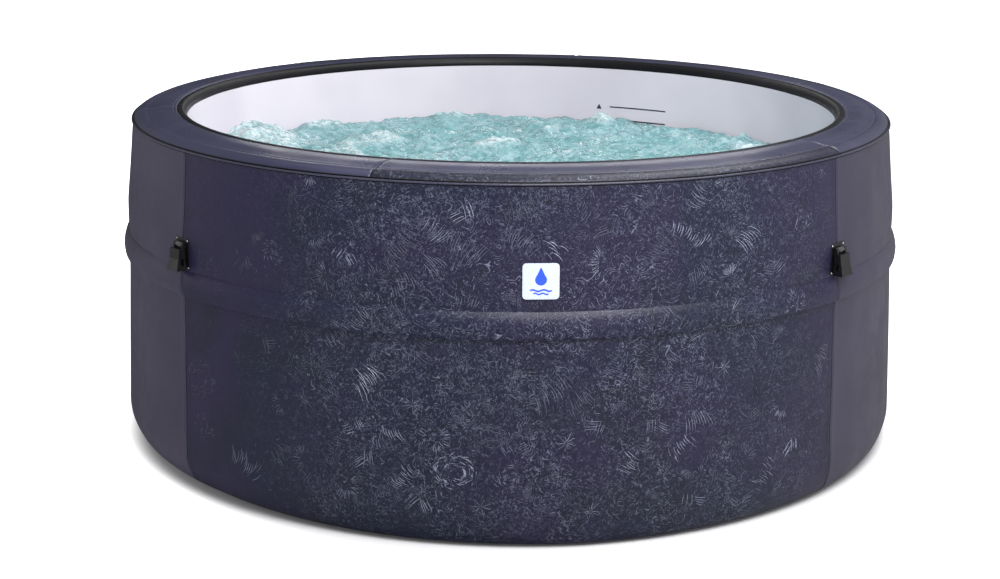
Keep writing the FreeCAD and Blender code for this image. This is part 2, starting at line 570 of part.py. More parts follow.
body = block(58.05, 400.0).cut(block(50.0, 410.0, UNIT_WALL))
for x, r in ((-PORT_X, STUB_R + 0.6), (0.0, STUB_AIR_R + 0.6), (PORT_X, STUB_R + 0.6)):
    body = body.cut(ycyl(r, x, PORT_Z, R_OUT + 55.0, R_OUT + 85.0))
vents = []
for q in range(8):
    z = 225.0 + q * 16.0
    for s in (-1, 1):
        v = box(-20.0, 20.0, UY - 70.0, UY + 70.0, z, z + 6.0)
        v.translate(V(s * UNIT_W / 2, 0, 0))
        vents.append(v)
body = body.cut(Part.makeCompound(vents))
# rear finger recess, screw posts and the hole for the cord gland
GLX, GLZ = -120.0, 95.0
body = body.cut(ycyl(8.2, GLX, GLZ, R_OUT + 395.0, R_OUT + 420.0))
SCREWS = [(sx * 158.0, UY + sy * 138.0) for sx in (-1, 1) for sy in (-1, 1)]
posts = [zcyl(7.0, x, y, 360.0, 400.0).cut(zcyl(2.06, x, y, 380.0, 401.0)) for x, y in SCREWS]
ribs = []
for x, y in SCREWS:
    ribs.append(box(min(x, x + math.copysign(30.0, x)), max(x, x + math.copysign(30.0, x)), y - 1.5, y + 1.5, 360.0, 379.0))
body = body.fuse(posts + ribs)
body = body.common(block(50.0, 400.0))
put("unit_body", tidy(body))

LID0 = 400.05
lid = block(LID0, UNIT_TOP)
top_edges = [e for e in lid.Edges if e.BoundBox.ZMin > UNIT_TOP - 0.01]
lid = lid.makeFillet(20.0, top_edges)
inner = block(LID0 - 5.0, UNIT_TOP - 6.5, UNIT_WALL)
inner_edges = [e for e in inner.Edges if e.BoundBox.ZMin > UNIT_TOP - 6.51]
inner = inner.makeFillet(16.0, inner_edges)
lid = lid.cut(inner)
PW, PD = 230.0, 110.0
PY = UY + 60.0
lid = lid.cut(rounded_plate(PW, PD, 10.0, 12.0, 0.0, PY, UNIT_TOP - 3.0))
BTN = {"power_button": -84.0, "heat_button": -44.0, "bubble_button": 44.0, "filter_button": 84.0}
BTN_Y = PY - 4.0
for x in BTN.values():
    lid = lid.cut(zcyl(12.5, x, BTN_Y, UNIT_TOP - 12.0, UNIT_TOP + 1.0))
lp = [zcyl(8.0, x, y, LID0, UNIT_TOP - 4.0) for x, y in SCREWS]
lid = lid.fuse(lp)
for x, y in SCREWS:
    lid = lid.cut(zcyl(2.3, x, y, 390.0, 470.0)).cut(zcyl(4.6, x, y, UNIT_TOP - 16.0, 470.0))
put("unit_lid", tidy(lid))

panel = rounded_plate(PW - 0.4, PD - 0.4, 3.2, 11.8, 0.0, PY, UNIT_TOP - 2.95)
panel = panel.cut(rounded_plate(46.0, 26.0, 3.0, 3.0, 0.0, PY + 2.0, UNIT_TOP - 0.75))
for x in BTN.values():
    panel = panel.cut(zcyl(11.2, x, BTN_Y, UNIT_TOP - 5.0, UNIT_TOP + 2.0))
put("control_panel", panel)
for n, x in BTN.items():
    b = zcyl(10.9, x, BTN_Y, UNIT_TOP - 5.5, UNIT_TOP + 2.2)
    b = b.makeFillet(1.2, [e for e in b.Edges if e.BoundBox.ZMin > UNIT_TOP + 2.1])
    b = b.fuse(zcyl(12.1, x, BTN_Y, UNIT_TOP - 5.5, UNIT_TOP - 3.2))
    put(n, tidy(b))
board = [box(-105.0, 105.0, PY - 45.0, PY + 45.0, 425.0, 426.6)]
chips = []
for cx, cy, w, d, h in ((-60, -18, 26, 18, 6), (0, 20, 46, 14, 8), (55, -20, 18, 24, 7), (10, -24, 14, 14, 4), (80, 22, 16, 16, 9)):
    chips.append(box(cx - w / 2, cx + w / 2, PY + cy - d / 2, PY + cy + d / 2, 426.6, 426.6 + h))
for x in BTN.values():
    chips.append(zcyl(4.0, x, BTN_Y, 426.6, 444.0))
put("control_board", tidy(board[0].fuse(chips)))
sc = []
for x, y in SCREWS:
    s = zcyl(2.0, x, y, 384.0, UNIT_TOP - 15.5).fuse(zcyl(4.0, x, y, UNIT_TOP - 15.95, UNIT_TOP - 13.2))
    s = s.cut(box(x - 2.6, x + 2.6, y - 0.5, y + 0.5, UNIT_TOP - 14.6, UNIT_TOP)).cut(box(x - 0.5, x + 0.5, y - 2.6, y + 2.6, UNIT_TOP - 14.6, UNIT_TOP))
    sc.append(tidy(s))
put("unit_screws", sc)
hexp = [V(GLX + 13.0 * math.cos(math.radians(60 * i)), UNIT_Y1 + 0.1, GLZ + 13.0 * math.sin(math.radians(60 * i))) for i in range(6)]
gl = Part.Face(Part.makePolygon(hexp + [hexp[0]])).extrude(V(0, 6.0, 0))
gl = gl.fuse([ycyl(8.0, GLX, GLZ, UNIT_Y1 - 14.0, UNIT_Y1 + 6.0),
              Part.makeCone(10.5, 7.5, 13.0, V(GLX, UNIT_Y1 + 6.0, GLZ), V(0, 1, 0)),
              ycyl(12.0, GLX, GLZ, UNIT_Y1 - 9.0, UNIT_Y1 - UNIT_WALL - 0.1)])
put("cord_gland", tidy(gl.cut(ycyl(4.3, GLX, GLZ, R_OUT + 375.0, R_OUT + 475.0))))

# circulation pump: volute with the suction stub, motor, rotor with its impeller
vol = ycyl(52.0, PUMP_X, PORT_Z, R_OUT + 85.0, R_OUT + 125.0)
vol = vol.fuse([ycyl(STUB_R, PUMP_X, PORT_Z, R_OUT + 37.0, R_OUT + 87.0), ycyl(SP_R, PUMP_X, PORT_Z, R_OUT + 35.0, R_OUT + 39.0),
                zcyl(16.0, PUMP_X + 34.0, R_OUT + 105.0, PORT_Z, 228.0)])
vol = vol.cut(ycyl(47.0, PUMP_X, PORT_Z, R_OUT + 89.0, R_OUT + 121.0)).cut(ycyl(17.0, PUMP_X, PORT_Z, R_OUT + 25.0, R_OUT + 95.0))
vol = vol.cut(zcyl(12.5, PUMP_X + 34.0, R_OUT + 105.0, PORT_Z, 230.0)).cut(ycyl(5.06, PUMP_X, PORT_Z, R_OUT + 115.0, R_OUT + 135.0))
put("pump_volute", tidy(vol))
mot = ycyl(48.0, PUMP_X, PORT_Z, R_OUT + 125.1, R_OUT + 247.0).cut(ycyl(26.0, PUMP_X, PORT_Z, R_OUT + 137.0, R_OUT + 235.0))
mot = mot.cut(ycyl(5.06, PUMP_X, PORT_Z, R_OUT + 115.0, R_OUT + 244.0))
fins = []
for q in range(16):
    a = box(-1.2, 1.2, R_OUT + 150.0, R_OUT + 225.0, 46.0, 50.0)
    a.rotate(V(0, 0, 0), V(0, 1, 0), 22.5 * q + 11.25)
    a.translate(V(PUMP_X, 0, PORT_Z))
    fins.append(a)
mot = mot.cut(ycyl(60.0, PUMP_X, PORT_Z, R_OUT + 150.0, R_OUT + 225.0).cut(ycyl(45.6, PUMP_X, PORT_Z, R_OUT + 145.0, R_OUT + 235.0))).fuse([
    f.common(ycyl(48.0, PUMP_X, PORT_Z, R_OUT + 150.0, R_OUT + 225.0)) for f in fins])
put("pump_motor", tidy(mot))
imp = ycyl(40.0, PUMP_X, PORT_Z, R_OUT + 111.0, R_OUT + 114.0)
for q in range(6):
    bl = box(10.0, 39.0, R_OUT + 97.0, R_OUT + 111.5, -1.5, 1.5)
    bl.rotate(V(10, 0, 0), V(0, 1, 0), 35.0)
    bl.rotate(V(0, 0, 0), V(0, 1, 0), 60.0 * q)
    bl.translate(V(PUMP_X, 0, PORT_Z))
    imp = imp.fuse(bl)
imp = imp.common(ycyl(42.0, PUMP_X, PORT_Z, R_OUT + 75.0, R_OUT + 135.0))
imp = imp.fuse([ycyl(9.0, PUMP_X, PORT_Z, R_OUT + 99.0, R_OUT + 111.5), ycyl(5.0, PUMP_X, PORT_Z, R_OUT + 99.0, R_OUT + 243.0), ycyl(24.0, PUMP_X, PORT_Z, R_OUT + 155.0, R_OUT + 217.0)])
put("pump_rotor", tidy(imp))

# heater: stainless tube from the volute's outlet, over and down to the return port
HX0, HX1, HY = PUMP_X + 34.0, PORT_X, R_OUT + 105.0
HC, HR, HB = 300.0, (PORT_X - PUMP_X - 34.0) / 2, 30.0


def swept(r, pts):
    """Round bar along a path given as a start point, points, and (mid, end) arcs."""
    p = pts[0]
    es = []
    for it in pts[1:]:
        if isinstance(it, tuple):
            es.append(Part.Arc(p, it[0], it[1]).toShape())
            p = it[1]
        else:
            es.append(Part.LineSegment(p, it).toShape())
            p = it
    spine = Part.Wire(es)
    e0 = es[0]
    d = e0.tangentAt(e0.FirstParameter)
    prof = Part.Wire([Part.makeCircle(r, pts[0], d)])
    return spine.makePipeShell([prof], True, False)


def heater_path(z0, y1):
    """From the volute's outlet up, over and down, then forward to the return port."""
    return [V(HX0, HY, z0), V(HX0, HY, HC),
            (V((HX0 + HX1) / 2, HY, HC + HR), V(HX1, HY, HC)), V(HX1, HY, PORT_Z + HB),
            (V(HX1, HY - HB + HB * K, PORT_Z + HB - HB * K), V(HX1, HY - HB, PORT_Z)), V(HX1, y1, PORT_Z)]


ht = swept(16.0, heater_path(228.1, R_OUT + 37.0)).fuse(
    [ycyl(STUB_R, PORT_X, PORT_Z, R_OUT + 37.0, R_OUT + 72.0), ycyl(SP_R, PORT_X, PORT_Z, R_OUT + 35.0, R_OUT + 39.0)])
ht = ht.cut(swept(14.0, heater_path(220.0, R_OUT + 30.0)))
put("heater_tube", tidy(ht))

# air blower: scroll and motor can, with the air stub; its fan
def air_run(r, y1):
    """From the scroll down, then forward to the air port."""
    y, q = R_OUT + 305.0, 30.0
    return swept(r, [V(0, y, BLOW_Z), V(0, y, PORT_Z + q),
                     (V(0, y - q + q * K, PORT_Z + q - q * K), V(0, y - q, PORT_Z)), V(0, y1, PORT_Z)])


scroll = ycyl(60.0, BLOW_X, BLOW_Z, R_OUT + 275.0, R_OUT + 335.0)
bh = scroll.fuse([air_run(15.0, R_OUT + 37.0), ycyl(AIR_R, 0.0, PORT_Z, R_OUT + 35.0, R_OUT + 39.0), ycyl(32.0, BLOW_X, BLOW_Z, R_OUT + 334.0, R_OUT + 393.0)])
bh = bh.cut(air_run(12.0, R_OUT + 30.0))
bh = bh.cut(ycyl(56.5, BLOW_X, BLOW_Z, R_OUT + 278.0, R_OUT + 332.0)).cut(ycyl(24.0, BLOW_X, BLOW_Z, R_OUT + 265.0, R_OUT + 285.0))
bh = bh.cut(ycyl(24.0, BLOW_X, BLOW_Z, R_OUT + 339.0, R_OUT + 387.0)).cut(ycyl(4.06, BLOW_X, BLOW_Z, R_OUT + 325.0, R_OUT + 390.0))
put("blower_housing", tidy(bh))
fan = ycyl(50.0, BLOW_X, BLOW_Z, R_OUT + 325.0, R_OUT + 327.5)
for q in range(16):
    b = box(34.0, 49.0, R_OUT + 287.0, R_OUT + 325.5, -1.0, 1.0)
    b.rotate(V(42, 0, 0), V(0, 1, 0), 40.0)
    b.rotate(V(0, 0, 0), V(0, 1, 0), 22.5 * q)
    b.translate(V(BLOW_X, 0, BLOW_Z))
    fan = fan.fuse(b)
fan = fan.fuse([ycyl(50.0, BLOW_X, BLOW_Z, R_OUT + 285.0, R_OUT + 287.5).cut(ycyl(36.0, BLOW_X, BLOW_Z, R_OUT + 275.0, R_OUT + 295.0)),
                ycyl(8.0, BLOW_X, BLOW_Z, R_OUT + 311.0, R_OUT + 326.0), ycyl(4.0, BLOW_X, BLOW_Z, R_OUT + 311.0, R_OUT + 389.0),
                ycyl(20.0, BLOW_X, BLOW_Z, R_OUT + 343.0, R_OUT + 381.0)])
fan = fan.common(ycyl(50.0, BLOW_X, BLOW_Z, R_OUT + 275.0, R_OUT + 395.0))
put("blower_fan", tidy(fan))

print("nodes", len(made))
for n in sorted(made):
    print("%-22s solids %2d  volume %.1f cm3" % (n, made[n][0], made[n][1] / 1000.0))
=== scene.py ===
import json
import math

import bpy
import numpy as np
from mathutils import Matrix, Vector

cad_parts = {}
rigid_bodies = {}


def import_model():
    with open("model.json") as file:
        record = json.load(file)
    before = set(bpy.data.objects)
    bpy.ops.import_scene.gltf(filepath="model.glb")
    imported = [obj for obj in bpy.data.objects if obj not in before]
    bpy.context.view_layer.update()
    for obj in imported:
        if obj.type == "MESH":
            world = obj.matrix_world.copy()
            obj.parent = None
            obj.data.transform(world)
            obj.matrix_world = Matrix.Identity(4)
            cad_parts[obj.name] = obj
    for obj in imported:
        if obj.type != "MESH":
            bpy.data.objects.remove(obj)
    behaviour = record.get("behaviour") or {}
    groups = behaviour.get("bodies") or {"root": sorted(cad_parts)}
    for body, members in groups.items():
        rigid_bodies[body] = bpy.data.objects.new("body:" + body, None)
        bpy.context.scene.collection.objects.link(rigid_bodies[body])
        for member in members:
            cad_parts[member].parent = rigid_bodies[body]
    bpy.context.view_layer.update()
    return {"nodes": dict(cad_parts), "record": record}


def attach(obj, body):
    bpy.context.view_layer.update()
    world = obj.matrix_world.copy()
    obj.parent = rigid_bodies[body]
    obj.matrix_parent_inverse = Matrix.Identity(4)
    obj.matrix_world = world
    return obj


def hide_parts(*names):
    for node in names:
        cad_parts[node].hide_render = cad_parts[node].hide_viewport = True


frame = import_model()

PI = math.pi
R, H = 0.825, 0.700
SEAM_Z = 0.686
SH_C = (0.795, 0.700 - 0.0391429)      # centre of the shoulder's arc
SH_R = 0.0391429
WALL_SEAMS = [-49.7, 49.7, 130.3, 229.7]
RIM_SEAMS = [-17.8, 51.0, 114.0, 168.0, 221.0, 279.0]
BELT0, BELT1 = 0.404, 0.455
BADGE_AZ, BADGE_Z = math.radians(3.9), 0.512
CLIP_AZ = [-49.9, 49.9, 130.1, 229.9]


# ------------------------------------------------------------------ helpers
def smooth(a, b, x):
    t = np.clip((np.asarray(x, float) - a) / (b - a), 0, 1)
    return t * t * (3 - 2 * t)


def cyl(az, r, z):
    az, r, z = np.broadcast_arrays(np.asarray(az, float), np.asarray(r, float), np.asarray(z, float))
    return np.stack([r * np.sin(az), -r * np.cos(az), z], -1)


def waves(seed, k, lo, hi, ring=False):
    """A smooth one-dimensional wobble in -1..1; with ring, it closes after a full turn."""
    g = np.random.default_rng(seed)
    f = g.integers(lo, hi + 1, k).astype(float) if ring else g.uniform(lo, hi, k)
    p, a = g.uniform(0, 2 * PI, k), g.uniform(0.5, 1, k)
    a = a / a.sum()

    def fn(t):
        t = np.asarray(t, float)
        return sum(a[i] * np.sin((f[i] if ring else 2 * PI * f[i]) * t + p[i]) for i in range(k))
    return fn


def field(seed, k, lo, hi):
    """A smooth two-dimensional noise in about -1..1, with lo to hi waves a metre."""
    g = np.random.default_rng(seed)
    f, d = g.uniform(lo, hi, k), g.uniform(0, PI, k)
    p, a = g.uniform(0, 2 * PI, k), g.uniform(0.5, 1, k)
    a = a / np.sqrt((a * a).sum() / 2) / 2

    def fn(x, y):
        return sum(a[i] * np.sin(2 * PI * f[i] * (np.cos(d[i]) * x + np.sin(d[i]) * y) + p[i]) for i in range(k))
    return fn


def make(name, verts, quads=(), tris=(), mats=(), face_mat=None, smooth_deg=40, attrs=None, body="tub"):
    verts = np.asarray(verts, float).reshape(-1, 3)
    quads = np.asarray(quads, np.int64).reshape(-1, 4)
    tris = np.asarray(tris, np.int64).reshape(-1, 3)
    t = np.concatenate([quads[:, [0, 1, 2]], quads[:, [0, 2, 3]], tris])
    a, b, c = verts[t[:, 0]], verts[t[:, 1]], verts[t[:, 2]]
    if float((a * np.cross(b, c)).sum()) < 0:
        quads, tris = quads[:, ::-1], tris[:, ::-1]
    me = bpy.data.meshes.new(name)
    me.vertices.add(len(verts))
    me.vertices.foreach_set("co", verts.astype(np.float32).ravel())
    me.loops.add(quads.size + tris.size)
    me.loops.foreach_set("vertex_index", np.concatenate([quads.ravel(), tris.ravel()]).astype(np.int32))
    me.polygons.add(len(quads) + len(tris))
    starts = np.concatenate([np.arange(len(quads)) * 4, quads.size + np.arange(len(tris)) * 3])
    me.polygons.foreach_set("loop_start", starts.astype(np.int32))
    for m in mats:
        me.materials.append(m)
    if face_mat is not None:
        me.polygons.foreach_set("material_index", np.asarray(face_mat, np.int32))
    me.update(calc_edges=True)
    me.validate()
    me.polygons.foreach_set("use_smooth", np.ones(len(me.polygons), bool))
    if smooth_deg < 180:
        me.set_sharp_from_angle(angle=math.radians(smooth_deg))
    for key, val in (attrs or {}).items():
        at = me.attributes.new(key, "FLOAT", "POINT")
        at.data.foreach_set("value", np.asarray(val, np.float32).ravel())
    ob = bpy.data.objects.new(name, me)
    bpy.context.scene.collection.objects.link(ob)
    if body:
        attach(ob, body)
    return ob


def shell_arrays(outer, inner, wrap=False):
    """Faces of a closed thin shell between two grids of points of the same shape."""
    na, ns = outer.shape[:2]
    o = np.arange(na * ns).reshape(na, ns)
    n = o + na * ns
    I = np.arange(na if wrap else na - 1)
    J = np.arange(ns - 1)
    i, j = np.meshgrid(I, J, indexing="ij")
    i2 = (i + 1) % na
    q = [np.stack([o[i, j], o[i2, j], o[i2, j + 1], o[i, j + 1]], -1).reshape(-1, 4),
         np.stack([n[i, j], n[i, j + 1], n[i2, j + 1], n[i2, j]], -1).reshape(-1, 4)]
    I2 = (I + 1) % na
    q.append(np.stack([o[I2, 0], o[I, 0], n[I, 0], n[I2, 0]], -1))
    q.append(np.stack([o[I, -1], o[I2, -1], n[I2, -1], n[I, -1]], -1))
    if not wrap:
        q.append(np.stack([o[0, J], o[0, J + 1], n[0, J + 1], n[0, J]], -1))
        q.append(np.stack([o[-1, J + 1], o[-1, J], n[-1, J], n[-1, J + 1]], -1))
    return np.concatenate([outer.reshape(-1, 3), inner.reshape(-1, 3)]), np.concatenate(q)


def tube_arrays(loops, wrap=False):
    """Faces of a closed tube through loops[station, point, xyz]."""
    na, k = loops.shape[:2]
    o = np.arange(na * k).reshape(na, k)
    i, j = np.meshgrid(np.arange(na if wrap else na - 1), np.arange(k), indexing="ij")
    i2, j2 = (i + 1) % na, (j + 1) % k
    q = np.stack([o[i, j], o[i2, j], o[i2, j2], o[i, j2]], -1).reshape(-1, 4)
    v = loops.reshape(-1, 3)
    t = np.zeros((0, 3), int)
    if not wrap:
        c0, c1 = len(v), len(v) + 1
        v = np.concatenate([v, loops[0].mean(0)[None], loops[-1].mean(0)[None]])
        J, J2 = np.arange(k), (np.arange(k) + 1) % k
        t = np.concatenate([np.stack([o[0, J], o[0, J2], np.full(k, c0)], -1),
                            np.stack([o[-1, J2], o[-1, J], np.full(k, c1)], -1)])
    return v, q, t


def join(parts):
    """Joins [(verts, quads, tris)] into one set of arrays."""
    v, q, t, n = [], [], [], 0
    for p in parts:
        v.append(p[0])
        q.append(np.asarray(p[1], int).reshape(-1, 4) + n)
        t.append((np.asarray(p[2], int) if len(p) > 2 else np.zeros((0, 3), int)).reshape(-1, 3) + n)
        n += len(p[0])
    return np.concatenate(v), np.concatenate(q), np.concatenate(t)


def grid_normals(g, wrap=False):
    da = (np.roll(g, -1, 0) - np.roll(g, 1, 0)) if wrap else np.gradient(g, axis=0)
    ds = np.gradient(g, axis=1)
    n = np.cross(da, ds)
    return n / np.maximum(np.linalg.norm(n, axis=-1, keepdims=True), 1e-12)


def edge_steps(length, step, near=(0, .0007, .0014, .0023, .0035, .005, .007, .0095, .013, .018, .025)):
    near = np.array(near)
    mid = np.linspace(near[-1], length - near[-1], max(2, int(round((length - 2 * near[-1]) / step)) + 1))
    return np.concatenate([near[:-1], mid, (length - near[:-1])[::-1]])


# ------------------------------------------------------------------ materials
def nodes_of(name):
    m = bpy.data.materials.new(name)
    m.use_nodes = True
    nt = m.node_tree
    return m, nt, nt.nodes["Principled BSDF"]


def nd(nt, kind, **kw):
    n = nt.nodes.new(kind)
    for k, v in kw.items():
        if k.startswith("_"):
            setattr(n, k[1:], v)
        else:
            n.inputs[k.replace("__", " ")].default_value = v
    return n


def noise(nt, vec, scale, detail=3.0, rough=0.55, distort=0.0):
    n = nd(nt, "ShaderNodeTexNoise", Scale=scale, Detail=detail, Roughness=rough, Distortion=distort)
    if vec is not None:
        nt.links.new(vec, n.inputs["Vector"])
    return n.outputs["Fac"]


def ramp(nt, fac, a, b, lo=0.0, hi=1.0, kind="SMOOTHSTEP"):
    n = nd(nt, "ShaderNodeMapRange", _interpolation_type=kind)
    n.inputs["From Min"].default_value, n.inputs["From Max"].default_value = a, b
    n.inputs["To Min"].default_value, n.inputs["To Max"].default_value = lo, hi
    nt.links.new(fac, n.inputs["Value"])
    return n.outputs["Result"]


def maths(nt, op, a, b=None, clamp=False):
    n = nd(nt, "ShaderNodeMath", _operation=op, _use_clamp=clamp)
    for i, x in enumerate((a, b)):
        if x is None:
            continue
        if isinstance(x, (int, float)):
            n.inputs[i].default_value = x
        else:
            nt.links.new(x, n.inputs[i])
    return n.outputs[0]


def mix(nt, fac, a, b):
    n = nd(nt, "ShaderNodeMix", _data_type="RGBA")
    for s, x in (("Factor", fac), ("A", a), ("B", b)):
        sock = [i for i in n.inputs if i.name == s and (i.type == ("VALUE" if s == "Factor" else "RGBA"))][0]
        if isinstance(x, (int, float)):
            sock.default_value = x
        elif isinstance(x, tuple):
            sock.default_value = (*x, 1.0)
        else:
            nt.links.new(x, sock)
    return [o for o in n.outputs if o.type == "RGBA"][0]


def bump(nt, height, dist, strength=1.0, normal=None):
    n = nd(nt, "ShaderNodeBump", Strength=strength, Distance=dist)
    nt.links.new(height, n.inputs["Height"])
    if normal is not None:
        nt.links.new(normal, n.inputs["Normal"])
    return n.outputs["Normal"]


def srgb(r, g, b):
    def f(x):
        x /= 255.0
        return x / 12.92 if x <= 0.04045 else ((x + 0.055) / 1.055) ** 2.4
    return (f(r), f(g), f(b))


def coords(nt):
    return nd(nt, "ShaderNodeTexCoord").outputs["Object"]


def vinyl(name, tint_a, tint_b, tint_c, rough, emboss_and_highlight=0.0, highlight_col=None, spec=0.5):
    """Laminated PVC with a leather grain; with embossing, broken curved strokes are pressed into it and painted lighter
    as a painted highlight, the grain's raised spots get a painted highlight and its hollows a painted shade.
    """
    m, nt, bs = nodes_of(name)
    P = coords(nt)
    big = noise(nt, P, 2.6, 2.0, 0.5, 0.6)
    mid = noise(nt, P, 7.0, 3.0, 0.6)
    col = mix(nt, ramp(nt, big, 0.38, 0.62), tint_a, tint_b)
    col = mix(nt, ramp(nt, mid, 0.45, 0.75, 0.0, 0.75), col, tint_c)
    v = nd(nt, "ShaderNodeTexVoronoi", Scale=520.0, _feature="DISTANCE_TO_EDGE")
    nt.links.new(P, v.inputs["Vector"])
    grain = ramp(nt, v.outputs["Distance"], 0.0, 0.35)
    fine = noise(nt, P, 900.0, 2.0)
    height = maths(nt, "ADD", maths(nt, "MULTIPLY", grain, 0.6), maths(nt, "MULTIPLY", fine, 0.4))
    rgh = ramp(nt, noise(nt, P, 14.0, 4.0, 0.65), 0.3, 0.7, rough - 0.05, rough + 0.06)
    nrm = bump(nt, height, 0.00012, 0.55)
    if emboss_and_highlight:
        sx = nd(nt, "ShaderNodeSeparateXYZ")
        nt.links.new(P, sx.inputs["Vector"])
        # the strokes and their painted highlight fade out away from X = 0.10
        off = maths(nt, "ABSOLUTE", maths(nt, "SUBTRACT", sx.outputs["X"], 0.10), 0.0)
        spread = ramp(nt, off, 0.30, 0.62, 1.0, 0.06)
        warp = nd(nt, "ShaderNodeTexNoise", Scale=24.0, Detail=1.0, Roughness=0.45, Distortion=0.35)
        nt.links.new(P, warp.inputs["Vector"])
        levels = maths(nt, "MULTIPLY", warp.outputs["Fac"], 17.0)
        tri = maths(nt, "PINGPONG", levels, 0.5)
        lines = ramp(nt, tri, 0.0, 0.13, 1.0, 0.0)
        breaks = ramp(nt, noise(nt, P, 88.0, 2.0, 0.6), 0.49, 0.57)
        patch = maths(nt, "MULTIPLY", ramp(nt, noise(nt, P, 7.5, 3.0, 0.65, 0.5), 0.40, 0.66, 0.10, 1.0), spread)
        s = maths(nt, "MULTIPLY", maths(nt, "MULTIPLY", lines, breaks), patch)
        warp2 = nd(nt, "ShaderNodeTexNoise", Scale=62.0, Detail=1.0, Roughness=0.5, Distortion=0.4)
        nt.links.new(P, warp2.inputs["Vector"])
        tri2 = maths(nt, "PINGPONG", maths(nt, "MULTIPLY", warp2.outputs["Fac"], 9.0), 0.5)
        l2 = ramp(nt, tri2, 0.0, 0.16, 1.0, 0.0)
        b2 = ramp(nt, noise(nt, P, 170.0, 1.0, 0.5), 0.48, 0.58)
        s2 = maths(nt, "MULTIPLY", maths(nt, "MULTIPLY", l2, b2), maths(nt, "MULTIPLY", ramp(nt, noise(nt, P, 11.0, 2.0), 0.38, 0.66, 0.15, 0.7), spread))
        both = maths(nt, "MAXIMUM", s, s2, clamp=True)
        wr = noise(nt, P, 135.0, 2.0, 0.6, 1.6)
        cloud = maths(nt, "MULTIPLY", ramp(nt, noise(nt, P, 5.5, 3.0, 0.6, 0.4), 0.36, 0.60, 0.30, 1.0), spread)
        raised_highlight = maths(nt, "MULTIPLY", ramp(nt, wr, 0.56, 0.66), cloud)
        hollow_shade = maths(nt, "MULTIPLY", ramp(nt, wr, 0.34, 0.46, 1.0, 0.0), cloud)
        # painted shade: the grain's hollows are darkened
        col = mix(nt, maths(nt, "MULTIPLY", hollow_shade, 0.65), col, (0.003, 0.0035, 0.007))
        # painted highlight: the grain's raised spots are lightened
        col = mix(nt, maths(nt, "MULTIPLY", raised_highlight, 0.25), col, highlight_col)
        # painted highlight: the pressed stroke lines are mixed towards the light stroke colour
        col = mix(nt, maths(nt, "MULTIPLY", both, emboss_and_highlight), col, highlight_col)
        nrm = bump(nt, wr, 0.0011, 0.6, nrm)
        nrm = bump(nt, both, 0.0004, 0.6, nrm)
        rgh = maths(nt, "SUBTRACT", rgh, maths(nt, "MULTIPLY", both, 0.08))
    nt.links.new(col, bs.inputs["Base Color"])
    nt.links.new(rgh, bs.inputs["Roughness"])
    nt.links.new(nrm, bs.inputs["Normal"])
    bs.inputs["Specular IOR Level"].default_value = spec
    return m


def plastic(name, base, rough=0.4, tex=900.0, depth=0.0001, spec=0.5, mottle=0.12, coat=0.0, edge=0.0):
    m, nt, bs = nodes_of(name)
    P = coords(nt)
    dark = tuple(max(0.0, c * (1 - mottle)) for c in base)
    col = mix(nt, ramp(nt, noise(nt, P, 9.0, 4.0, 0.6), 0.3, 0.7), dark, base)
    nt.links.new(col, bs.inputs["Base Color"])
    nt.links.new(ramp(nt, noise(nt, P, 38.0, 3.0), 0.3, 0.7, rough - 0.06, rough + 0.06), bs.inputs["Roughness"])
    base_n = None
    if edge:
        bev = nd(nt, "ShaderNodeBevel", _samples=4, Radius=edge)
        base_n = bev.outputs["Normal"]
    nt.links.new(bump(nt, noise(nt, P, tex, 2.0, 0.6), depth, 0.6, base_n), bs.inputs["Normal"])
    bs.inputs["Specular IOR Level"].default_value = spec
    if coat:
        bs.inputs["Coat Weight"].default_value = coat
        bs.inputs["Coat Roughness"].default_value = 0.12
    return m


def metal(name, base, rough, brush=True):
    m, nt, bs = nodes_of(name)
    mp = nd(nt, "ShaderNodeMapping")
    mp.inputs["Scale"].default_value = (1.0, 0.08, 1.0) if brush else (1, 1, 1)
    nt.links.new(coords(nt), mp.inputs["Vector"])
    n = noise(nt, mp.outputs["Vector"], 700.0, 3.0)
    nt.links.new(ramp(nt, n, 0.3, 0.7, rough - 0.08, rough + 0.1), bs.inputs["Roughness"])
    nt.links.new(mix(nt, n, tuple(c * 0.85 for c in base), base), bs.inputs["Base Color"])
    nt.links.new(bump(nt, n, 0.00005, 0.4), bs.inputs["Normal"])
    bs.inputs["Metallic"].default_value = 1.0 if brush else 0.4
    return m


M = {}
# light colour of the embossed strokes: painted highlight
STROKE_HIGHLIGHT = srgb(120, 126, 148)
M["cover_embossed"] = vinyl("cover_embossed", srgb(19, 23, 44), srgb(27, 23, 49), srgb(18, 21, 37), 0.40, 0.62, STROKE_HIGHLIGHT, 0.36)
# a darker copy of the front panel's vinyl for the rim's shoulder: painted shade, with a stronger painted highlight on
# its strokes
M["shoulder"] = vinyl("rim_shoulder_shaded", srgb(19, 22, 39), srgb(24, 22, 42), srgb(18, 20, 35), 0.36, 0.75, STROKE_HIGHLIGHT, 0.36)
M["cover_smooth"] = vinyl("cover_smooth", srgb(52, 49, 67), srgb(46, 43, 61), srgb(55, 51, 70), 0.40, spec=0.36)
M["rim_smooth"] = vinyl("rim_smooth", srgb(51, 52, 75), srgb(45, 46, 68), srgb(54, 54, 78), 0.31, spec=0.48)
# near-black copy of the rim's vinyl: painted shade on the rolled inner edge
M["roll"] = vinyl("rim_roll", srgb(9, 9, 14), srgb(7, 7, 12), srgb(11, 10, 16), 0.42, spec=0.22)


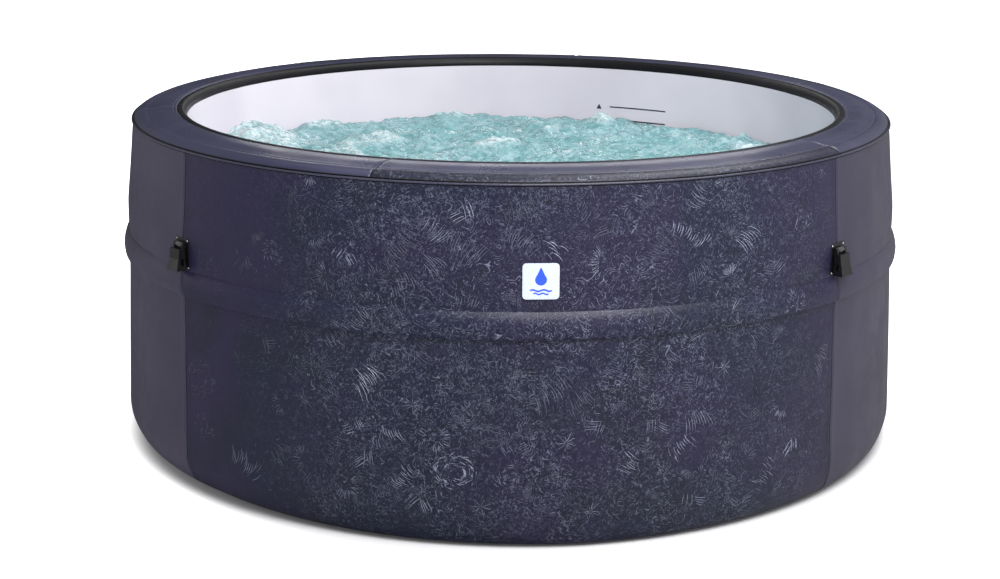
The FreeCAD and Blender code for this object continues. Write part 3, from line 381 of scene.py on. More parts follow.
def highlight_ridge_material():
    m, nt, bs = nodes_of("emboss_ridge_highlight")
    at = nd(nt, "ShaderNodeAttribute", _attribute_name="tone")
    # the ridges' colour rises with each stroke's highlight strength from the panel's colour to near-white: painted
    # highlight
    col = mix(nt, at.outputs["Fac"], srgb(46, 50, 66), srgb(158, 164, 184))
    col = mix(nt, ramp(nt, noise(nt, coords(nt), 160.0, 3.0), 0.35, 0.65, 0.0, 0.5), col, srgb(42, 45, 62))
    nt.links.new(col, bs.inputs["Base Color"])
    bs.inputs["Roughness"].default_value = 0.40
    nt.links.new(bump(nt, noise(nt, coords(nt), 700.0, 2.0), 0.0001, 0.5), bs.inputs["Normal"])
    return m


M["ridge"] = highlight_ridge_material()
M["piping"] = vinyl("piping", srgb(52, 52, 68), srgb(46, 46, 62), srgb(56, 55, 72), 0.28)
# near-black strips in the seam grooves and beside the welt: painted shade
M["seam_dark"] = vinyl("seam_dark", (0.004, 0.004, 0.006), (0.005, 0.005, 0.007), (0.004, 0.004, 0.006), 0.6, spec=0.2)


def liner_material():
    m, nt, bs = nodes_of("liner_white")
    P = coords(nt)
    col = mix(nt, ramp(nt, noise(nt, P, 3.0, 3.0), 0.35, 0.65), srgb(221, 214, 222), srgb(212, 205, 214))
    nt.links.new(col, bs.inputs["Base Color"])
    nt.links.new(ramp(nt, noise(nt, P, 25.0, 3.0), 0.3, 0.7, 0.33, 0.42), bs.inputs["Roughness"])
    nt.links.new(bump(nt, noise(nt, P, 600.0, 2.0), 0.0001, 0.4), bs.inputs["Normal"])
    return m


M["liner_white"] = liner_material()


def water_material():
    m, nt, bs = nodes_of("water")
    P = coords(nt)
    at = nd(nt, "ShaderNodeAttribute", _attribute_name="foam")
    col = mix(nt, ramp(nt, noise(nt, P, 6.0, 4.0, 0.65, 0.5), 0.35, 0.65), srgb(108, 154, 157), srgb(136, 170, 176))
    col = mix(nt, ramp(nt, noise(nt, P, 34.0, 3.0, 0.6, 1.0), 0.40, 0.64, 0.0, 0.85), col, srgb(80, 130, 134))
    streak = ramp(nt, maths(nt, "PINGPONG", maths(nt, "MULTIPLY", noise(nt, P, 17.0, 3.0, 0.6, 1.4), 7.0), 0.5), 0.0, 0.13, 1.0, 0.0)
    streak = maths(nt, "MULTIPLY", streak, ramp(nt, noise(nt, P, 11.0, 3.0), 0.42, 0.6))
    speck = ramp(nt, noise(nt, P, 150.0, 3.0, 0.7), 0.60, 0.70)
    foam = maths(nt, "MULTIPLY", at.outputs["Fac"], ramp(nt, noise(nt, P, 60.0, 4.0, 0.7, 0.6), 0.36, 0.6, 0.15, 1.0))
    foam = maths(nt, "MAXIMUM", foam, maths(nt, "MULTIPLY", streak, 0.6), clamp=True)
    foam = maths(nt, "MAXIMUM", foam, maths(nt, "MULTIPLY", speck, 0.75), clamp=True)
    col = mix(nt, foam, col, srgb(226, 232, 236))
    nt.links.new(col, bs.inputs["Base Color"])
    nt.links.new(ramp(nt, foam, 0.0, 1.0, 0.12, 0.6), bs.inputs["Roughness"])
    h = maths(nt, "ADD", noise(nt, P, 70.0, 4.0, 0.65, 0.5), maths(nt, "MULTIPLY", foam, 0.35))
    nt.links.new(bump(nt, h, 0.008, 0.75), bs.inputs["Normal"])
    bs.inputs["IOR"].default_value = 1.33
    bs.inputs["Subsurface Weight"].default_value = 0.15
    bs.inputs["Subsurface Radius"].default_value = (0.01, 0.03, 0.035)
    return m


M["water"] = water_material()
M["pvc_grey"] = plastic("pvc_grey", srgb(150, 150, 156), 0.5, 500.0, 0.0002)
M["foam_grey"] = plastic("foam_grey", srgb(168, 170, 176), 0.85, 350.0, 0.0008, 0.2)
M["clip_black"] = plastic("clip_black", (0.0035, 0.0035, 0.0045), 0.34, 1200.0, 0.00006, 0.42, coat=0.08, edge=0.0008)
M["patch_black"] = plastic("patch_black", (0.0035, 0.0035, 0.005), 0.36, 650.0, 0.00015, 0.42)
M["badge_white"] = plastic("badge_white", srgb(182, 190, 204), 0.22, 1200.0, 0.00003, 0.5, 0.03, coat=0.5)
M["badge_blue"] = plastic("badge_blue", srgb(36, 78, 214), 0.25, 1200.0, 0.00003, 0.5, 0.15, coat=0.4)
M["mark_ink"] = plastic("mark_ink", srgb(44, 44, 60), 0.45, 900.0, 0.00004)
M["white_plastic"] = plastic("white_plastic", srgb(226, 228, 234), 0.32, 1000.0, 0.00006, 0.5, 0.04, edge=0.0008)
M["black_plastic"] = plastic("black_plastic", (0.016, 0.016, 0.019), 0.46, 900.0, 0.00012, edge=0.0008)
M["rubber_black"] = plastic("rubber_black", (0.014, 0.014, 0.014), 0.65, 500.0, 0.0002, 0.3)
M["shell_grey"] = plastic("shell_grey", srgb(158, 160, 170), 0.50, 1300.0, 0.00022, 0.45, 0.05, edge=0.001)
M["shell_dark"] = plastic("shell_dark", srgb(60, 60, 72), 0.48, 1300.0, 0.00022, 0.45, 0.08, edge=0.001)
M["panel_black"] = plastic("panel_black", (0.008, 0.008, 0.010), 0.12, 900.0, 0.00002, 0.6, coat=0.6, edge=0.0005)
M["button_grey"] = plastic("button_grey", srgb(140, 143, 152), 0.55, 1500.0, 0.00008, edge=0.0005)
M["icon_white"] = plastic("icon_white", srgb(236, 240, 244), 0.5, 900.0, 0.00002)
M["board_green"] = plastic("board_green", (0.02, 0.12, 0.06), 0.4)
M["motor_cast"] = plastic("motor_cast", (0.10, 0.10, 0.11), 0.55, 260.0, 0.0005)
M["steel"] = metal("steel", (0.60, 0.60, 0.62), 0.28)


def webbing_material():
    m, nt, bs = nodes_of("webbing_black")
    P = coords(nt)
    w = nd(nt, "ShaderNodeTexWave", Scale=180.0, Distortion=0.4, _wave_type="BANDS", _bands_direction="Z")
    nt.links.new(P, w.inputs["Vector"])
    n = noise(nt, P, 1400.0, 2.0)
    h = maths(nt, "ADD", w.outputs["Fac"], maths(nt, "MULTIPLY", n, 0.5))
    nt.links.new(mix(nt, w.outputs["Fac"], (0.008, 0.008, 0.010), (0.024, 0.024, 0.028)), bs.inputs["Base Color"])
    nt.links.new(bump(nt, h, 0.0004, 0.8), bs.inputs["Normal"])
    bs.inputs["Roughness"].default_value = 0.75
    bs.inputs["Sheen Weight"].default_value = 0.25
    return m


M["webbing_black"] = webbing_material()


def paper_material():
    m, nt, bs = nodes_of("filter_paper")
    P = coords(nt)
    n = noise(nt, P, 500.0, 4.0, 0.7)
    nt.links.new(mix(nt, n, srgb(206, 212, 220), srgb(236, 239, 244)), bs.inputs["Base Color"])
    nt.links.new(bump(nt, n, 0.0003, 0.7), bs.inputs["Normal"])
    bs.inputs["Roughness"].default_value = 0.8
    return m


M["filter_paper"] = paper_material()


def display_material():
    m, nt, bs = nodes_of("display_lit")
    n = noise(nt, coords(nt), 400.0, 1.0)
    col = mix(nt, n, srgb(90, 190, 240), srgb(120, 214, 250))
    nt.links.new(col, bs.inputs["Base Color"])
    nt.links.new(col, bs.inputs["Emission Color"])
    bs.inputs["Emission Strength"].default_value = 0.8
    return m


M["display_lit"] = display_material()

# CAD nodes keep their meshes and take the finish of their slot
for sub in frame["record"].get("subparts", []):
    ob = frame["nodes"].get(sub.get("node"))
    if ob is None:
        continue
    key = sub.get("material_slot")
    ob.data.materials.clear()
    ob.data.materials.append(M.get(key, M["black_plastic"]))

# ------------------------------------------------------------------ the wall's surface
rip = [waves(900 + i, 5, 2.0, 7.0) for i in range(4)]
seam_wave = [waves(940 + i, 4, 2.0, 9.0) for i in range(4)]
pucker = [waves(960 + i, 4, 9.0, 26.0) for i in range(4)]
side_fold = field(31, 7, 1.0, 6.5)
front_fold = field(37, 7, 1.0, 4.0)
SEAM_R = [math.radians(a) for a in WALL_SEAMS]


def wrap_pi(a):
    return (np.asarray(a) + PI) % (2 * PI) - PI


def seam_offset(i, z):
    return (0.0011 * seam_wave[i](z)) / R


def wall_dr(az, z):
    """How far the cover stands in or out of its cylinder: soft folds, and the valley and puckers along each upright seam."""
    az, z = np.broadcast_arrays(np.asarray(az, float), np.asarray(z, float))
    a = wrap_pi(az)
    ends = smooth(0.03, 0.12, z) * smooth(0.686, 0.600, z) * (1 - 0.85 * np.exp(-((z - 0.43) / 0.05) ** 2))
    front = smooth(math.radians(49.7), math.radians(44), np.minimum(np.abs(a), PI - np.abs(a)))
    side = field_side(a, z)
    dr = ends * (0.00055 * front * front_fold(a * R, z * 0.6) + 0.0011 * (1 - front) * side)
    for i, s in enumerate(SEAM_R):
        d = np.abs(wrap_pi(a - s - seam_offset(i, z))) * R
        near = smooth(0.02, 0.05, z) * 0.75 + 0.25
        dr = dr - 0.0020 * np.exp(-(d / 0.0022) ** 2) * near
        dr = dr + 0.0008 * np.exp(-((d - 0.0075) / 0.0042) ** 2) * near
        dr = dr + 0.00045 * np.exp(-(d / 0.022) ** 2) * pucker[i](z) * ends
    return dr


def field_side(a, z):
    u = a * R
    lobes = np.sin(2 * PI * u / 0.21 + 1.2 * np.sin(3.1 * z)) * 0.45
    return lobes + 0.75 * side_fold(u * 2.1, z * 0.30)


def belt_r(z):
    """The belt's outer surface as a radius at height z."""
    zz = np.array([0.4040, 0.4046, 0.4065, 0.4105, 0.4160, 0.4240, 0.4330, 0.4440, 0.4500, 0.4550])
    dd = np.array([0.0060, 0.0074, 0.0086, 0.0097, 0.0105, 0.0110, 0.0098, 0.0066, 0.0036, 0.0004])
    return R + np.interp(z, zz, dd)


def profile_table():
    """Radius, height and outward slope of the embossed surface, by distance up the wall."""
    v = np.concatenate([np.linspace(0.030, 0.686, 900), 0.686 + np.linspace(0.0001, 0.034, 90)])
    r, z = np.full(len(v), R), v.copy()
    sh = v > 0.686
    a0 = math.asin((SEAM_Z - SH_C[1]) / SH_R)
    ang = a0 + (v[sh] - 0.686) / SH_R
    r[sh], z[sh] = SH_C[0] + SH_R * np.cos(ang), SH_C[1] + SH_R * np.sin(ang)
    nr, nz = np.ones(len(v)), np.zeros(len(v))
    nr[sh], nz[sh] = np.cos(ang), np.sin(ang)
    bt = (v >= BELT0) & (v <= BELT1)
    r[bt] = belt_r(v[bt])
    slope = np.gradient(r, z)
    nb = bt
    ln = np.sqrt(1 + slope[nb] ** 2)
    nr[nb], nz[nb] = 1 / ln, -slope[nb] / ln
    return v, r, z, nr, nz


TV, TR, TZ, TNR, TNZ = profile_table()


def surf(az, v, lift=0.0):
    r, z = np.interp(v, TV, TR), np.interp(v, TV, TZ)
    nr, nz = np.interp(v, TV, TNR), np.interp(v, TV, TNZ)
    plain = (v < BELT0) | ((v > BELT1) & (v <= 0.686))
    r = r + np.where(plain, wall_dr(az, z), 0.0)
    return cyl(az, r + nr * lift, z + nz * lift)


# ------------------------------------------------------------------ outer cover panels
SKIN = 0.002
ROUND = 0.028


def panel(name, i, mat):
    s0, s1 = SEAM_R[i], SEAM_R[(i + 1) % 4]
    if s1 < s0:
        s1 += 2 * PI
    L = (s1 - s0) * R
    d = edge_steps(L, 0.0078)
    ang = np.linspace(PI / 2, 0, 9)
    zr = 0.0008 + ROUND
    pr = R - ROUND + ROUND * np.sin(PI / 2 - ang)
    pz = zr - ROUND * np.cos(PI / 2 - ang)
    zs = np.concatenate([np.linspace(zr, 0.395, 46)[1:], np.linspace(0.400, 0.460, 8), np.linspace(0.467, 0.6775, 27), [0.681, 0.6838, 0.6856]])
    pr, pz = np.concatenate([pr, np.full(len(zs), R)]), np.concatenate([pz, zs])
    DD, ZZ = np.meshgrid(d, pz, indexing="ij")
    RR = np.broadcast_to(pr, DD.shape)
    w0 = smooth(0.03, 0.0, DD)
    w1 = smooth(0.03, 0.0, L - DD)
    AZ = s0 + 0.00035 / R + DD / L * (L - 0.0007) / R + w0 * seam_offset(i, ZZ) + w1 * seam_offset((i + 1) % 4, ZZ)
    dr = wall_dr(AZ, ZZ)
    tuck = 0.0006 * np.exp(-((ZZ - 0.6856) / 0.0025) ** 2)
    outer = cyl(AZ, RR + dr - tuck, ZZ)
    n = grid_normals(outer)
    if (n[len(d) // 2, -10] * outer[len(d) // 2, -10])[:2].sum() < 0:
        n = -n
    inner = outer - n * SKIN
    inner[..., 2] = np.maximum(inner[..., 2], 0.0008)
    v, q = shell_arrays(outer, inner)
    ob = make(name, v, q, mats=[mat], smooth_deg=60)
    return ob, L


panels = {}
for i, (nm, key) in enumerate((("front", "cover_embossed"), ("right", "cover_smooth"), ("rear", "cover_embossed"), ("left", "cover_smooth"))):
    ob, L = panel("cover_" + nm, i, M[key])
    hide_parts("outer_panel_" + nm)
    panels[nm] = ob

# ------------------------------------------------------------------ belts, one length to each panel
belt_wob = waves(70, 6, 1.0, 6.0)
for i, (nm, key) in enumerate((("front", "cover_embossed"), ("right", "cover_smooth"), ("rear", "cover_embossed"), ("left", "cover_smooth"))):
    s0, s1 = SEAM_R[i], SEAM_R[(i + 1) % 4]
    if s1 < s0:
        s1 += 2 * PI
    L = (s1 - s0) * R
    d = edge_steps(L, 0.010, (0, .0005, .0012, .0022, .0035, .0052, .0075, .011, .016))
    cz = np.array([0.4040, 0.4042, 0.4050, 0.4065, 0.4085, 0.4105, 0.4135, 0.4170, 0.4205, 0.4240, 0.4285, 0.4330, 0.4385, 0.4440, 0.4475, 0.4505, 0.4530, 0.4550])
    cr = belt_r(cz)
    loop_r = np.concatenate([[R - 0.0003], cr, [R - 0.0003]])
    loop_z = np.concatenate([[0.4042], cz, [0.4548]])
    zc = 0.4295
    loops = []
    for dd in d:
        az = s0 + 0.0003 / R + dd / L * (L - 0.0006) / R
        e = min(dd, L - dd)
        k = 1 - 0.30 * math.exp(-((e / 0.0028) ** 2)) - 0.05 * math.exp(-((e / 0.02) ** 2))
        wob = 1 + 0.05 * float(belt_wob(az * R))
        lr = R + (loop_r - R) * np.where(loop_r > R, k * wob, 1.0)
        lz = zc + (loop_z - zc) * (1 - 0.03 * math.exp(-((e / 0.003) ** 2)))
        loops.append(cyl(az, lr, lz))
    v, q, t = tube_arrays(np.array(loops))
    ob = make("belt_" + nm, v, q, t, mats=[M[key]], smooth_deg=50)
    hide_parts("waist_belt")

# ------------------------------------------------------------------ padded rim, six gores
rim_slow = waves(81, 6, 2, 9, ring=True)
rim_fast = waves(82, 5, 14, 40, ring=True)


LIFT = 0.0042                          # the rim's soft top stands higher at its inner edge


def rim_profile():
    """Distance outward, radius and height of the gore's outer surface, with its crease and inner seam groove."""
    r1 = np.concatenate([[0.7157, 0.7161, 0.7168, 0.7180, 0.7196, 0.7208, 0.7218, 0.7228, 0.7240, 0.7260], np.linspace(0.730, 0.785, 12), [0.789, 0.792, 0.7935, 0.7945, 0.795]])
    z1 = H + LIFT * smooth(0.796, 0.742, r1) + 0.0008 * np.sin(np.clip((r1 - 0.7157) / 0.0793, 0, 1) * PI)
    z1 = z1 - 0.0012 * np.exp(-((r1 - 0.7218) / 0.0011) ** 2) - 0.0016 * np.exp(-((r1 - 0.7157) / 0.0016) ** 2)
    z1 = z1 - 0.0012 * np.exp(-((r1 - 0.7948) / 0.0014) ** 2)
    a0 = math.asin((SEAM_Z - SH_C[1]) / SH_R)
    ang = np.linspace(PI / 2, a0, 15)[1:]
    bulge = 0.0016 * np.sin(np.clip((PI / 2 - ang) / (PI / 2 - a0), 0, 1) * PI)
    r2 = SH_C[0] + (SH_R + bulge) * np.cos(ang)
    z2 = SH_C[1] + (SH_R + bulge) * np.sin(ang)
    return np.concatenate([r1, r2]), np.concatenate([z1, z2]), len(r1)


RP, ZP, N_TOP = rim_profile()
for i in range(6):
    s0 = math.radians(RIM_SEAMS[i])
    s1 = math.radians(RIM_SEAMS[(i + 1) % 6]) + (2 * PI if i == 5 else 0)
    rm = 0.76
    L = (s1 - s0) * rm
    d = edge_steps(L, 0.0085)
    skew = waves(300 + i, 3, 1.0, 3.0)
    AZ = np.empty((len(d), len(RP)))
    D = np.empty_like(AZ)
    for k, dd in enumerate(d):
        AZ[k] = s0 + 0.00035 / rm + dd / L * (L - 0.0007) / rm
        D[k] = min(dd, L - dd)
    dz = -0.0016 * np.exp(-(D / 0.0022) ** 2) + 0.0004 * np.exp(-((D - 0.009) / 0.005) ** 2)
    flat = smooth(0.7155, 0.724, RP) * smooth(0.8255, 0.800, RP)
    dz = dz * (0.35 + 0.65 * flat) + flat * (0.0009 * rim_slow(AZ) + 0.0003 * rim_fast(AZ) * np.cos((RP - 0.75) * 60))
    shoulder = smooth(0.793, 0.802, RP)
    drr = shoulder * (-0.0014 * np.exp(-(D / 0.0022) ** 2) + 0.0006 * rim_slow(AZ * 1.0 + 1.0))
    outer = cyl(AZ, RP + drr, ZP + dz)
    n = grid_normals(outer)
    if n[len(d) // 2, 14, 2] < 0:
        n = -n
    inner = outer - n * 0.0028
    inner[:, 0] = outer[:, 0] - np.array([0, 0, 0.0028])
    v, q = shell_arrays(outer, inner)
    embossed = i in (0, 2, 3)
    front_gore = i == 0
    if embossed:
        na, ns = len(d), len(RP)
        fm = np.zeros(len(q), int)
        jj = np.tile(np.arange(ns - 1), na - 1)
        # the shoulder faces take the darker shoulder copy of the vinyl: painted shade
        fm[:(na - 1) * (ns - 1)] = (jj >= N_TOP - 1)
        ob = make("rim_gore_%d" % (i + 1), v, q, mats=[M["rim_smooth"], M["shoulder"]], face_mat=fm, smooth_deg=70)
    else:
        ob = make("rim_gore_%d" % (i + 1), v, q, mats=[M["rim_smooth"]], smooth_deg=70)
    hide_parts("rim_panels")

def seam_shade_strips(name, paths, half_w):
    """Narrow near-black strips lying in the seam grooves, painted shade: each path is points and outward normals, from
    top to bottom.
    """
    parts = []
    for pts, nrm, side, top, deep in paths:
        loops = []
        for p, n_, s_ in zip(pts, nrm, side):
            loops.append([p + n_ * deep - s_ * half_w, p + n_ * top - s_ * half_w * 0.8, p + n_ * top + s_ * half_w * 0.8, p + n_ * deep + s_ * half_w])
        parts.append(tube_arrays(np.array(loops)))
    v, q, t = join(parts)
    ob = make(name, v, q, t, mats=[M["seam_dark"]], smooth_deg=50)
    return ob


paths = []
for i, s in enumerate(SEAM_R):
    for seg_ in (np.linspace(0.004, 0.4025, 90), np.linspace(0.4555, 0.684, 60)):
        A_ = s + seam_offset(i, seg_)
        under = np.clip(0.0008 + ROUND - seg_, 0.0, ROUND) / ROUND
        turn = np.sqrt(1.0 - under ** 2)
        pts = cyl(A_, R + wall_dr(A_, seg_) - ROUND * (1.0 - turn), seg_)
        nrm = cyl(A_, turn, -under)
        side = np.stack([np.cos(A_), np.sin(A_), 0 * A_], -1)
        paths.append((pts, nrm, side, 0.0006, -0.0016))
seam_shade_strips("wall_seams", paths, 0.0031)
paths = []
for s in RIM_SEAMS:
    a_ = math.radians(s)
    A_ = np.full(len(RP), a_)
    flat_ = smooth(0.7155, 0.724, RP) * smooth(0.8255, 0.800, RP)
    dz_ = -0.00157 * (0.35 + 0.65 * flat_) + flat_ * (0.0009 * rim_slow(A_) + 0.0003 * rim_fast(A_) * np.cos((RP - 0.75) * 60))
    dr_ = smooth(0.793, 0.802, RP) * (-0.0014 + 0.0006 * rim_slow(A_ + 1.0))
    pts = cyl(A_, RP + dr_, ZP + dz_ + 0.0001)
    tr, tz = np.gradient(RP), np.gradient(ZP)
    ln = np.hypot(tr, tz)
    nrm = cyl(A_, -tz / ln, tr / ln)
    nrm = np.where((nrm[:, 2:] < 0), -nrm, nrm)
    side = np.tile(np.array([math.cos(a_), math.sin(a_), 0.0]), (len(RP), 1))
    k = slice(6, len(RP) - 1)
    paths.append((pts[k] - 0 * nrm[k], nrm[k], side[k], 0.0002, -0.0007))
seam_shade_strips("rim_seams", paths, 0.0015)

# rolled inner edge of the rim
roll_low = waves(83, 8, 9, 46, ring=True)
roll_slow = waves(84, 5, 3, 12, ring=True)
NA = 620
az = np.linspace(0, 2 * PI, NA, endpoint=False)
t = np.linspace(0, PI / 2, 12)
RT = 0.6998 + LIFT
oc = np.stack([0.7092 - 0.0142 * np.sin(t), RT - (RT - 0.6862) * (1 - np.cos(t))], -1)
ic = np.stack([0.7092 - 0.0112 * np.sin(t), RT - 0.0030 - (RT - 0.0030 - 0.6866) * (1 - np.cos(t))], -1)[::-1]
oc = np.concatenate([[[0.7152, RT - 0.0010], [0.7140, RT - 0.0003], [0.7116, RT]], oc])
ic = np.concatenate([ic, [[0.7152, RT - 0.0030]]])
lip = np.array([[0.6952, 0.6849], [0.6962, 0.6843], [0.6974, 0.6849]])
sec = np.concatenate([oc, lip, ic])
low = smooth(0.694, 0.686, sec[:, 1])
belly = np.sin(np.clip((0.7152 - sec[:, 0]) / 0.0202, 0, 1) * PI)
loops = []
for a in az:
    e = min(abs((a - math.radians(s) + PI) % (2 * PI) - PI) for s in RIM_SEAMS) * 0.70
    nick = math.exp(-((e / 0.004) ** 2))
    r_ = sec[:, 0] + belly * (-0.0010 - 0.0005 * float(roll_slow(a))) * (1 - 0.6 * nick) + low * 0.0005 * float(roll_low(a))
    z_ = sec[:, 1] + low * (0.0013 * float(roll_low(a)) + 0.0012 * nick) + belly * (0.0008 - 0.0016 * nick)
    loops.append(cyl(a, r_, z_))
v, q, t3 = tube_arrays(np.array(loops), wrap=True)
# the roll wears the near-black copy of the rim's vinyl: painted shade
ob = make("rim_roll", v, q, t3, mats=[M["roll"]], smooth_deg=70)
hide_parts("rim_inner_roll")

# piping between rim and wall
pip = waves(85, 6, 12, 60, ring=True)
ph = np.linspace(0, 2 * PI, 10, endpoint=False)
loops = [cyl(a, R + 0.0016 + (0.0019 + 0.0002 * float(pip(a))) * np.cos(ph), 0.6856 + (0.0018 + 0.0002 * float(pip(a))) * np.sin(ph)) for a in np.linspace(0, 2 * PI, 720, endpoint=False)]
v, q, t3 = tube_arrays(np.array(loops), wrap=True)
ob = make("rim_welt", v, q, t3, mats=[M["piping"]], smooth_deg=80)
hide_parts("rim_piping")

# near-black cords just above and below the welt: painted shade in the creases beside it
for nm_, rc, zc_, rad_ in (("welt_line_upper", 0.8236, 0.6889, 0.0012), ("welt_line_lower", 0.8251, 0.6828, 0.0009)):
    loops = [cyl(a, rc + rad_ * np.cos(ph), zc_ + rad_ * np.sin(ph)) for a in np.linspace(0, 2 * PI, 540, endpoint=False)]
    v, q, t3 = tube_arrays(np.array(loops), wrap=True)
    ob = make(nm_, v, q, t3, mats=[M["seam_dark"]], smooth_deg=80)

# ------------------------------------------------------------------ raised embossing
g = np.random.default_rng(4242)


def stroke_points(u0, v0, th, length, curve, m=6):
    """Polylines of m points, from starts (u0, v0), headings th, lengths and total turns, as arrays."""
    k = np.linspace(-0.5, 0.5, m)[None, :]
    s = k * length[:, None]
    ang = th[:, None] + curve[:, None] * k
    du, dv = np.cos(ang), np.sin(ang)
    step = (length / (m - 1))[:, None]
    pu = np.cumsum(du, 1) * step
    pv = np.cumsum(dv, 1) * step
    c = m // 2
    return u0[:, None] + pu - pu[:, c:c + 1], v0[:, None] + pv - pv[:, c:c + 1]


def motifs(seed, width, v_lo, v_hi):
    """Strokes of one panel: rings, feathers, fans, stars and loose strokes between them. Returns u, v arrays, width,
    height and the strength of each stroke's painted highlight.
    """
    g = np.random.default_rng(seed)
    U, V, W, HH, T = [], [], [], [], []

    def add(u0, v0, th, ln, cv, wd, hh, tone):
        a, b = stroke_points(np.asarray(u0), np.asarray(v0), np.asarray(th), np.asarray(ln), np.asarray(cv))
        U.append(a); V.append(b)
        n = len(a)
        W.append(np.broadcast_to(wd, n).copy()); HH.append(np.broadcast_to(hh, n).copy()); T.append(np.broadcast_to(tone, n).copy())

    def spread(u):
        return smooth(0.48 * width, 0.25 * width, np.abs(u - 0.57 * width))

    centres = []
    tries = 0
    while tries < 6000 and len(centres) < 185:
        tries += 1
        c = (g.uniform(0.02, width - 0.02), g.uniform(v_lo + 0.02, v_hi - 0.01))
        if all((c[0] - o[0]) ** 2 + (c[1] - o[1]) ** 2 > (0.030 + 0.5 * o[2]) ** 2 for o in centres):
            centres.append((c[0], c[1], g.uniform(0.03, 0.062)))
    for cu, cv_, sz in centres:
        near = spread(cu)
        if g.uniform() > 0.35 + 0.65 * near:
            continue
        # painted highlight strength of the motif's strokes, stronger near the panel's middle
        bright = g.choice([0.16, 0.32, 0.6, 1.0], p=[0.30, 0.32, 0.24, 0.14]) * (0.35 + 0.65 * near)
        kind = g.choice(["ring", "feather", "fan", "star", "chevron", "weave"], p=[0.07, 0.31, 0.17, 0.13, 0.09, 0.23])
        if kind == "ring":
            n = 84
            rx, ry = sz * g.uniform(0.75, 1.0), sz * g.uniform(0.50, 0.68)
            ph = g.uniform(0, 2 * PI, n)
            f = g.choice([1.0, 0.80, 0.50], n, p=[0.45, 0.30, 0.25]) * g.uniform(0.88, 1.12, n)
            tilt = g.uniform(-0.4, 0.4)
            x, y = rx * f * np.cos(ph), ry * f * np.sin(ph)
            th = np.arctan2(ry * np.cos(ph), -rx * np.sin(ph)) + g.normal(0, 0.38, n) + tilt
            add(cu + x * np.cos(tilt) - y * np.sin(tilt), cv_ + x * np.sin(tilt) + y * np.cos(tilt), th,
                g.uniform(0.006, 0.015, n), g.uniform(0.1, 0.7, n), g.uniform(0.0011, 0.0019, n), g.uniform(0.0003, 0.00065, n), bright * g.uniform(0.5, 1.1, n))
        elif kind == "feather":
            n = int(g.integers(8, 17))
            base = g.choice([-0.95, -0.8, -1.1, 0.9, 2.6]) + g.uniform(-0.25, 0.25)
            k = np.arange(n)
            gap = g.uniform(0.0040, 0.0058)
            off = (k - n / 2) * gap
            nx, ny = -math.sin(base), math.cos(base)
            along = g.uniform(-0.010, 0.010, n) + 0.004 * np.sin(k * 0.9)
            add(cu + nx * off + math.cos(base) * along, cv_ + ny * off + math.sin(base) * along, base + 0.045 * (k - n / 2) + g.normal(0, 0.07, n),
                g.uniform(0.5, 1.0, n) * sz * 0.72, g.uniform(0.35, 0.8) * np.ones(n) * g.choice([-1, 1]), g.uniform(0.0013, 0.0024, n), g.uniform(0.0004, 0.0009, n), bright * g.uniform(0.6, 1.15, n))
        elif kind == "fan":
            n = int(g.integers(12, 22))
            a0, span = g.uniform(0, 2 * PI), g.uniform(1.6, 3.0)
            ph = a0 + np.linspace(0, span, n) + g.normal(0, 0.04, n)
            rr = sz * g.uniform(0.34, 0.46, n)
            add(cu + rr * np.cos(ph), cv_ + rr * np.sin(ph), ph + g.normal(0, 0.1, n), g.uniform(0.008, 0.019, n), g.uniform(-0.5, 0.5, n),
                g.uniform(0.0011, 0.0018, n), g.uniform(0.0003, 0.0007, n), bright * g.uniform(0.5, 1.0, n))
        elif kind == "star":
            n = int(g.integers(6, 11))
            ph = g.uniform(0, 2 * PI) + np.arange(n) * 2 * PI / n + g.normal(0, 0.12, n)
            ln = g.uniform(0.009, 0.024, n)
            add(cu + (0.003 + ln / 2) * np.cos(ph), cv_ + (0.003 + ln / 2) * np.sin(ph), ph, ln, g.uniform(-0.6, 0.6, n),
                g.uniform(0.0010, 0.0017, n), g.uniform(0.0003, 0.0006, n), bright * g.uniform(0.5, 1.1, n))
        elif kind == "chevron":
            a = g.uniform(0, 2 * PI)
            n = 8
            th = np.concatenate([a + g.normal(0, 0.06, 4), a + g.uniform(0.9, 1.6) + g.normal(0, 0.06, 4)])
            k = np.tile(np.arange(4), 2) * 0.0048
            x = np.concatenate([np.full(4, -0.010), np.full(4, 0.010)]) + g.normal(0, 0.002, n)
            add(cu + x - np.sin(th) * k, cv_ + np.cos(th) * k, th, g.uniform(0.014, 0.034, n), g.uniform(-0.5, 0.5, n),
                g.uniform(0.0014, 0.0024, n), g.uniform(0.0004, 0.0009, n), bright * g.uniform(0.7, 1.15, n))
        else:
            n = int(g.integers(26, 44))
            rr, ph = sz * 0.55 * np.sqrt(g.uniform(0, 1, n)), g.uniform(0, 2 * PI, n)
            swirl = g.choice([0.0, PI / 2, 0.7])
            add(cu + rr * np.cos(ph), cv_ + rr * np.sin(ph), ph + swirl + g.normal(0, 0.35, n), g.uniform(0.004, 0.012, n), g.uniform(-0.9, 0.9, n),
                g.uniform(0.0010, 0.0017, n), g.uniform(0.00025, 0.0006, n), bright * g.uniform(0.35, 0.9, n))
    n = int(6800 * width * (v_hi - v_lo) / 0.98)
    u0, v0 = g.uniform(0, width, n), g.uniform(v_lo, v_hi, n)
    fl, dens = field(seed + 5, 8, 1.5, 7.0), field(seed + 6, 8, 3.0, 9.0)
    th = 2.6 * fl(u0, v0) + 0.4 * g.normal(0, 1, n)
    keep = dens(u0, v0) + g.uniform(-0.6, 0.6, n) > 0.75 - 0.85 * spread(u0)
    u0, v0, th = u0[keep], v0[keep], th[keep]
    n = len(u0)
    nb = 0.25 + 0.75 * spread(u0)
    add(u0, v0, th, g.uniform(0.0035, 0.010, n), g.uniform(-0.8, 0.8, n), g.uniform(0.0009, 0.0014, n), g.uniform(0.0002, 0.00045, n), g.uniform(0.05, 0.46, n) * nb)
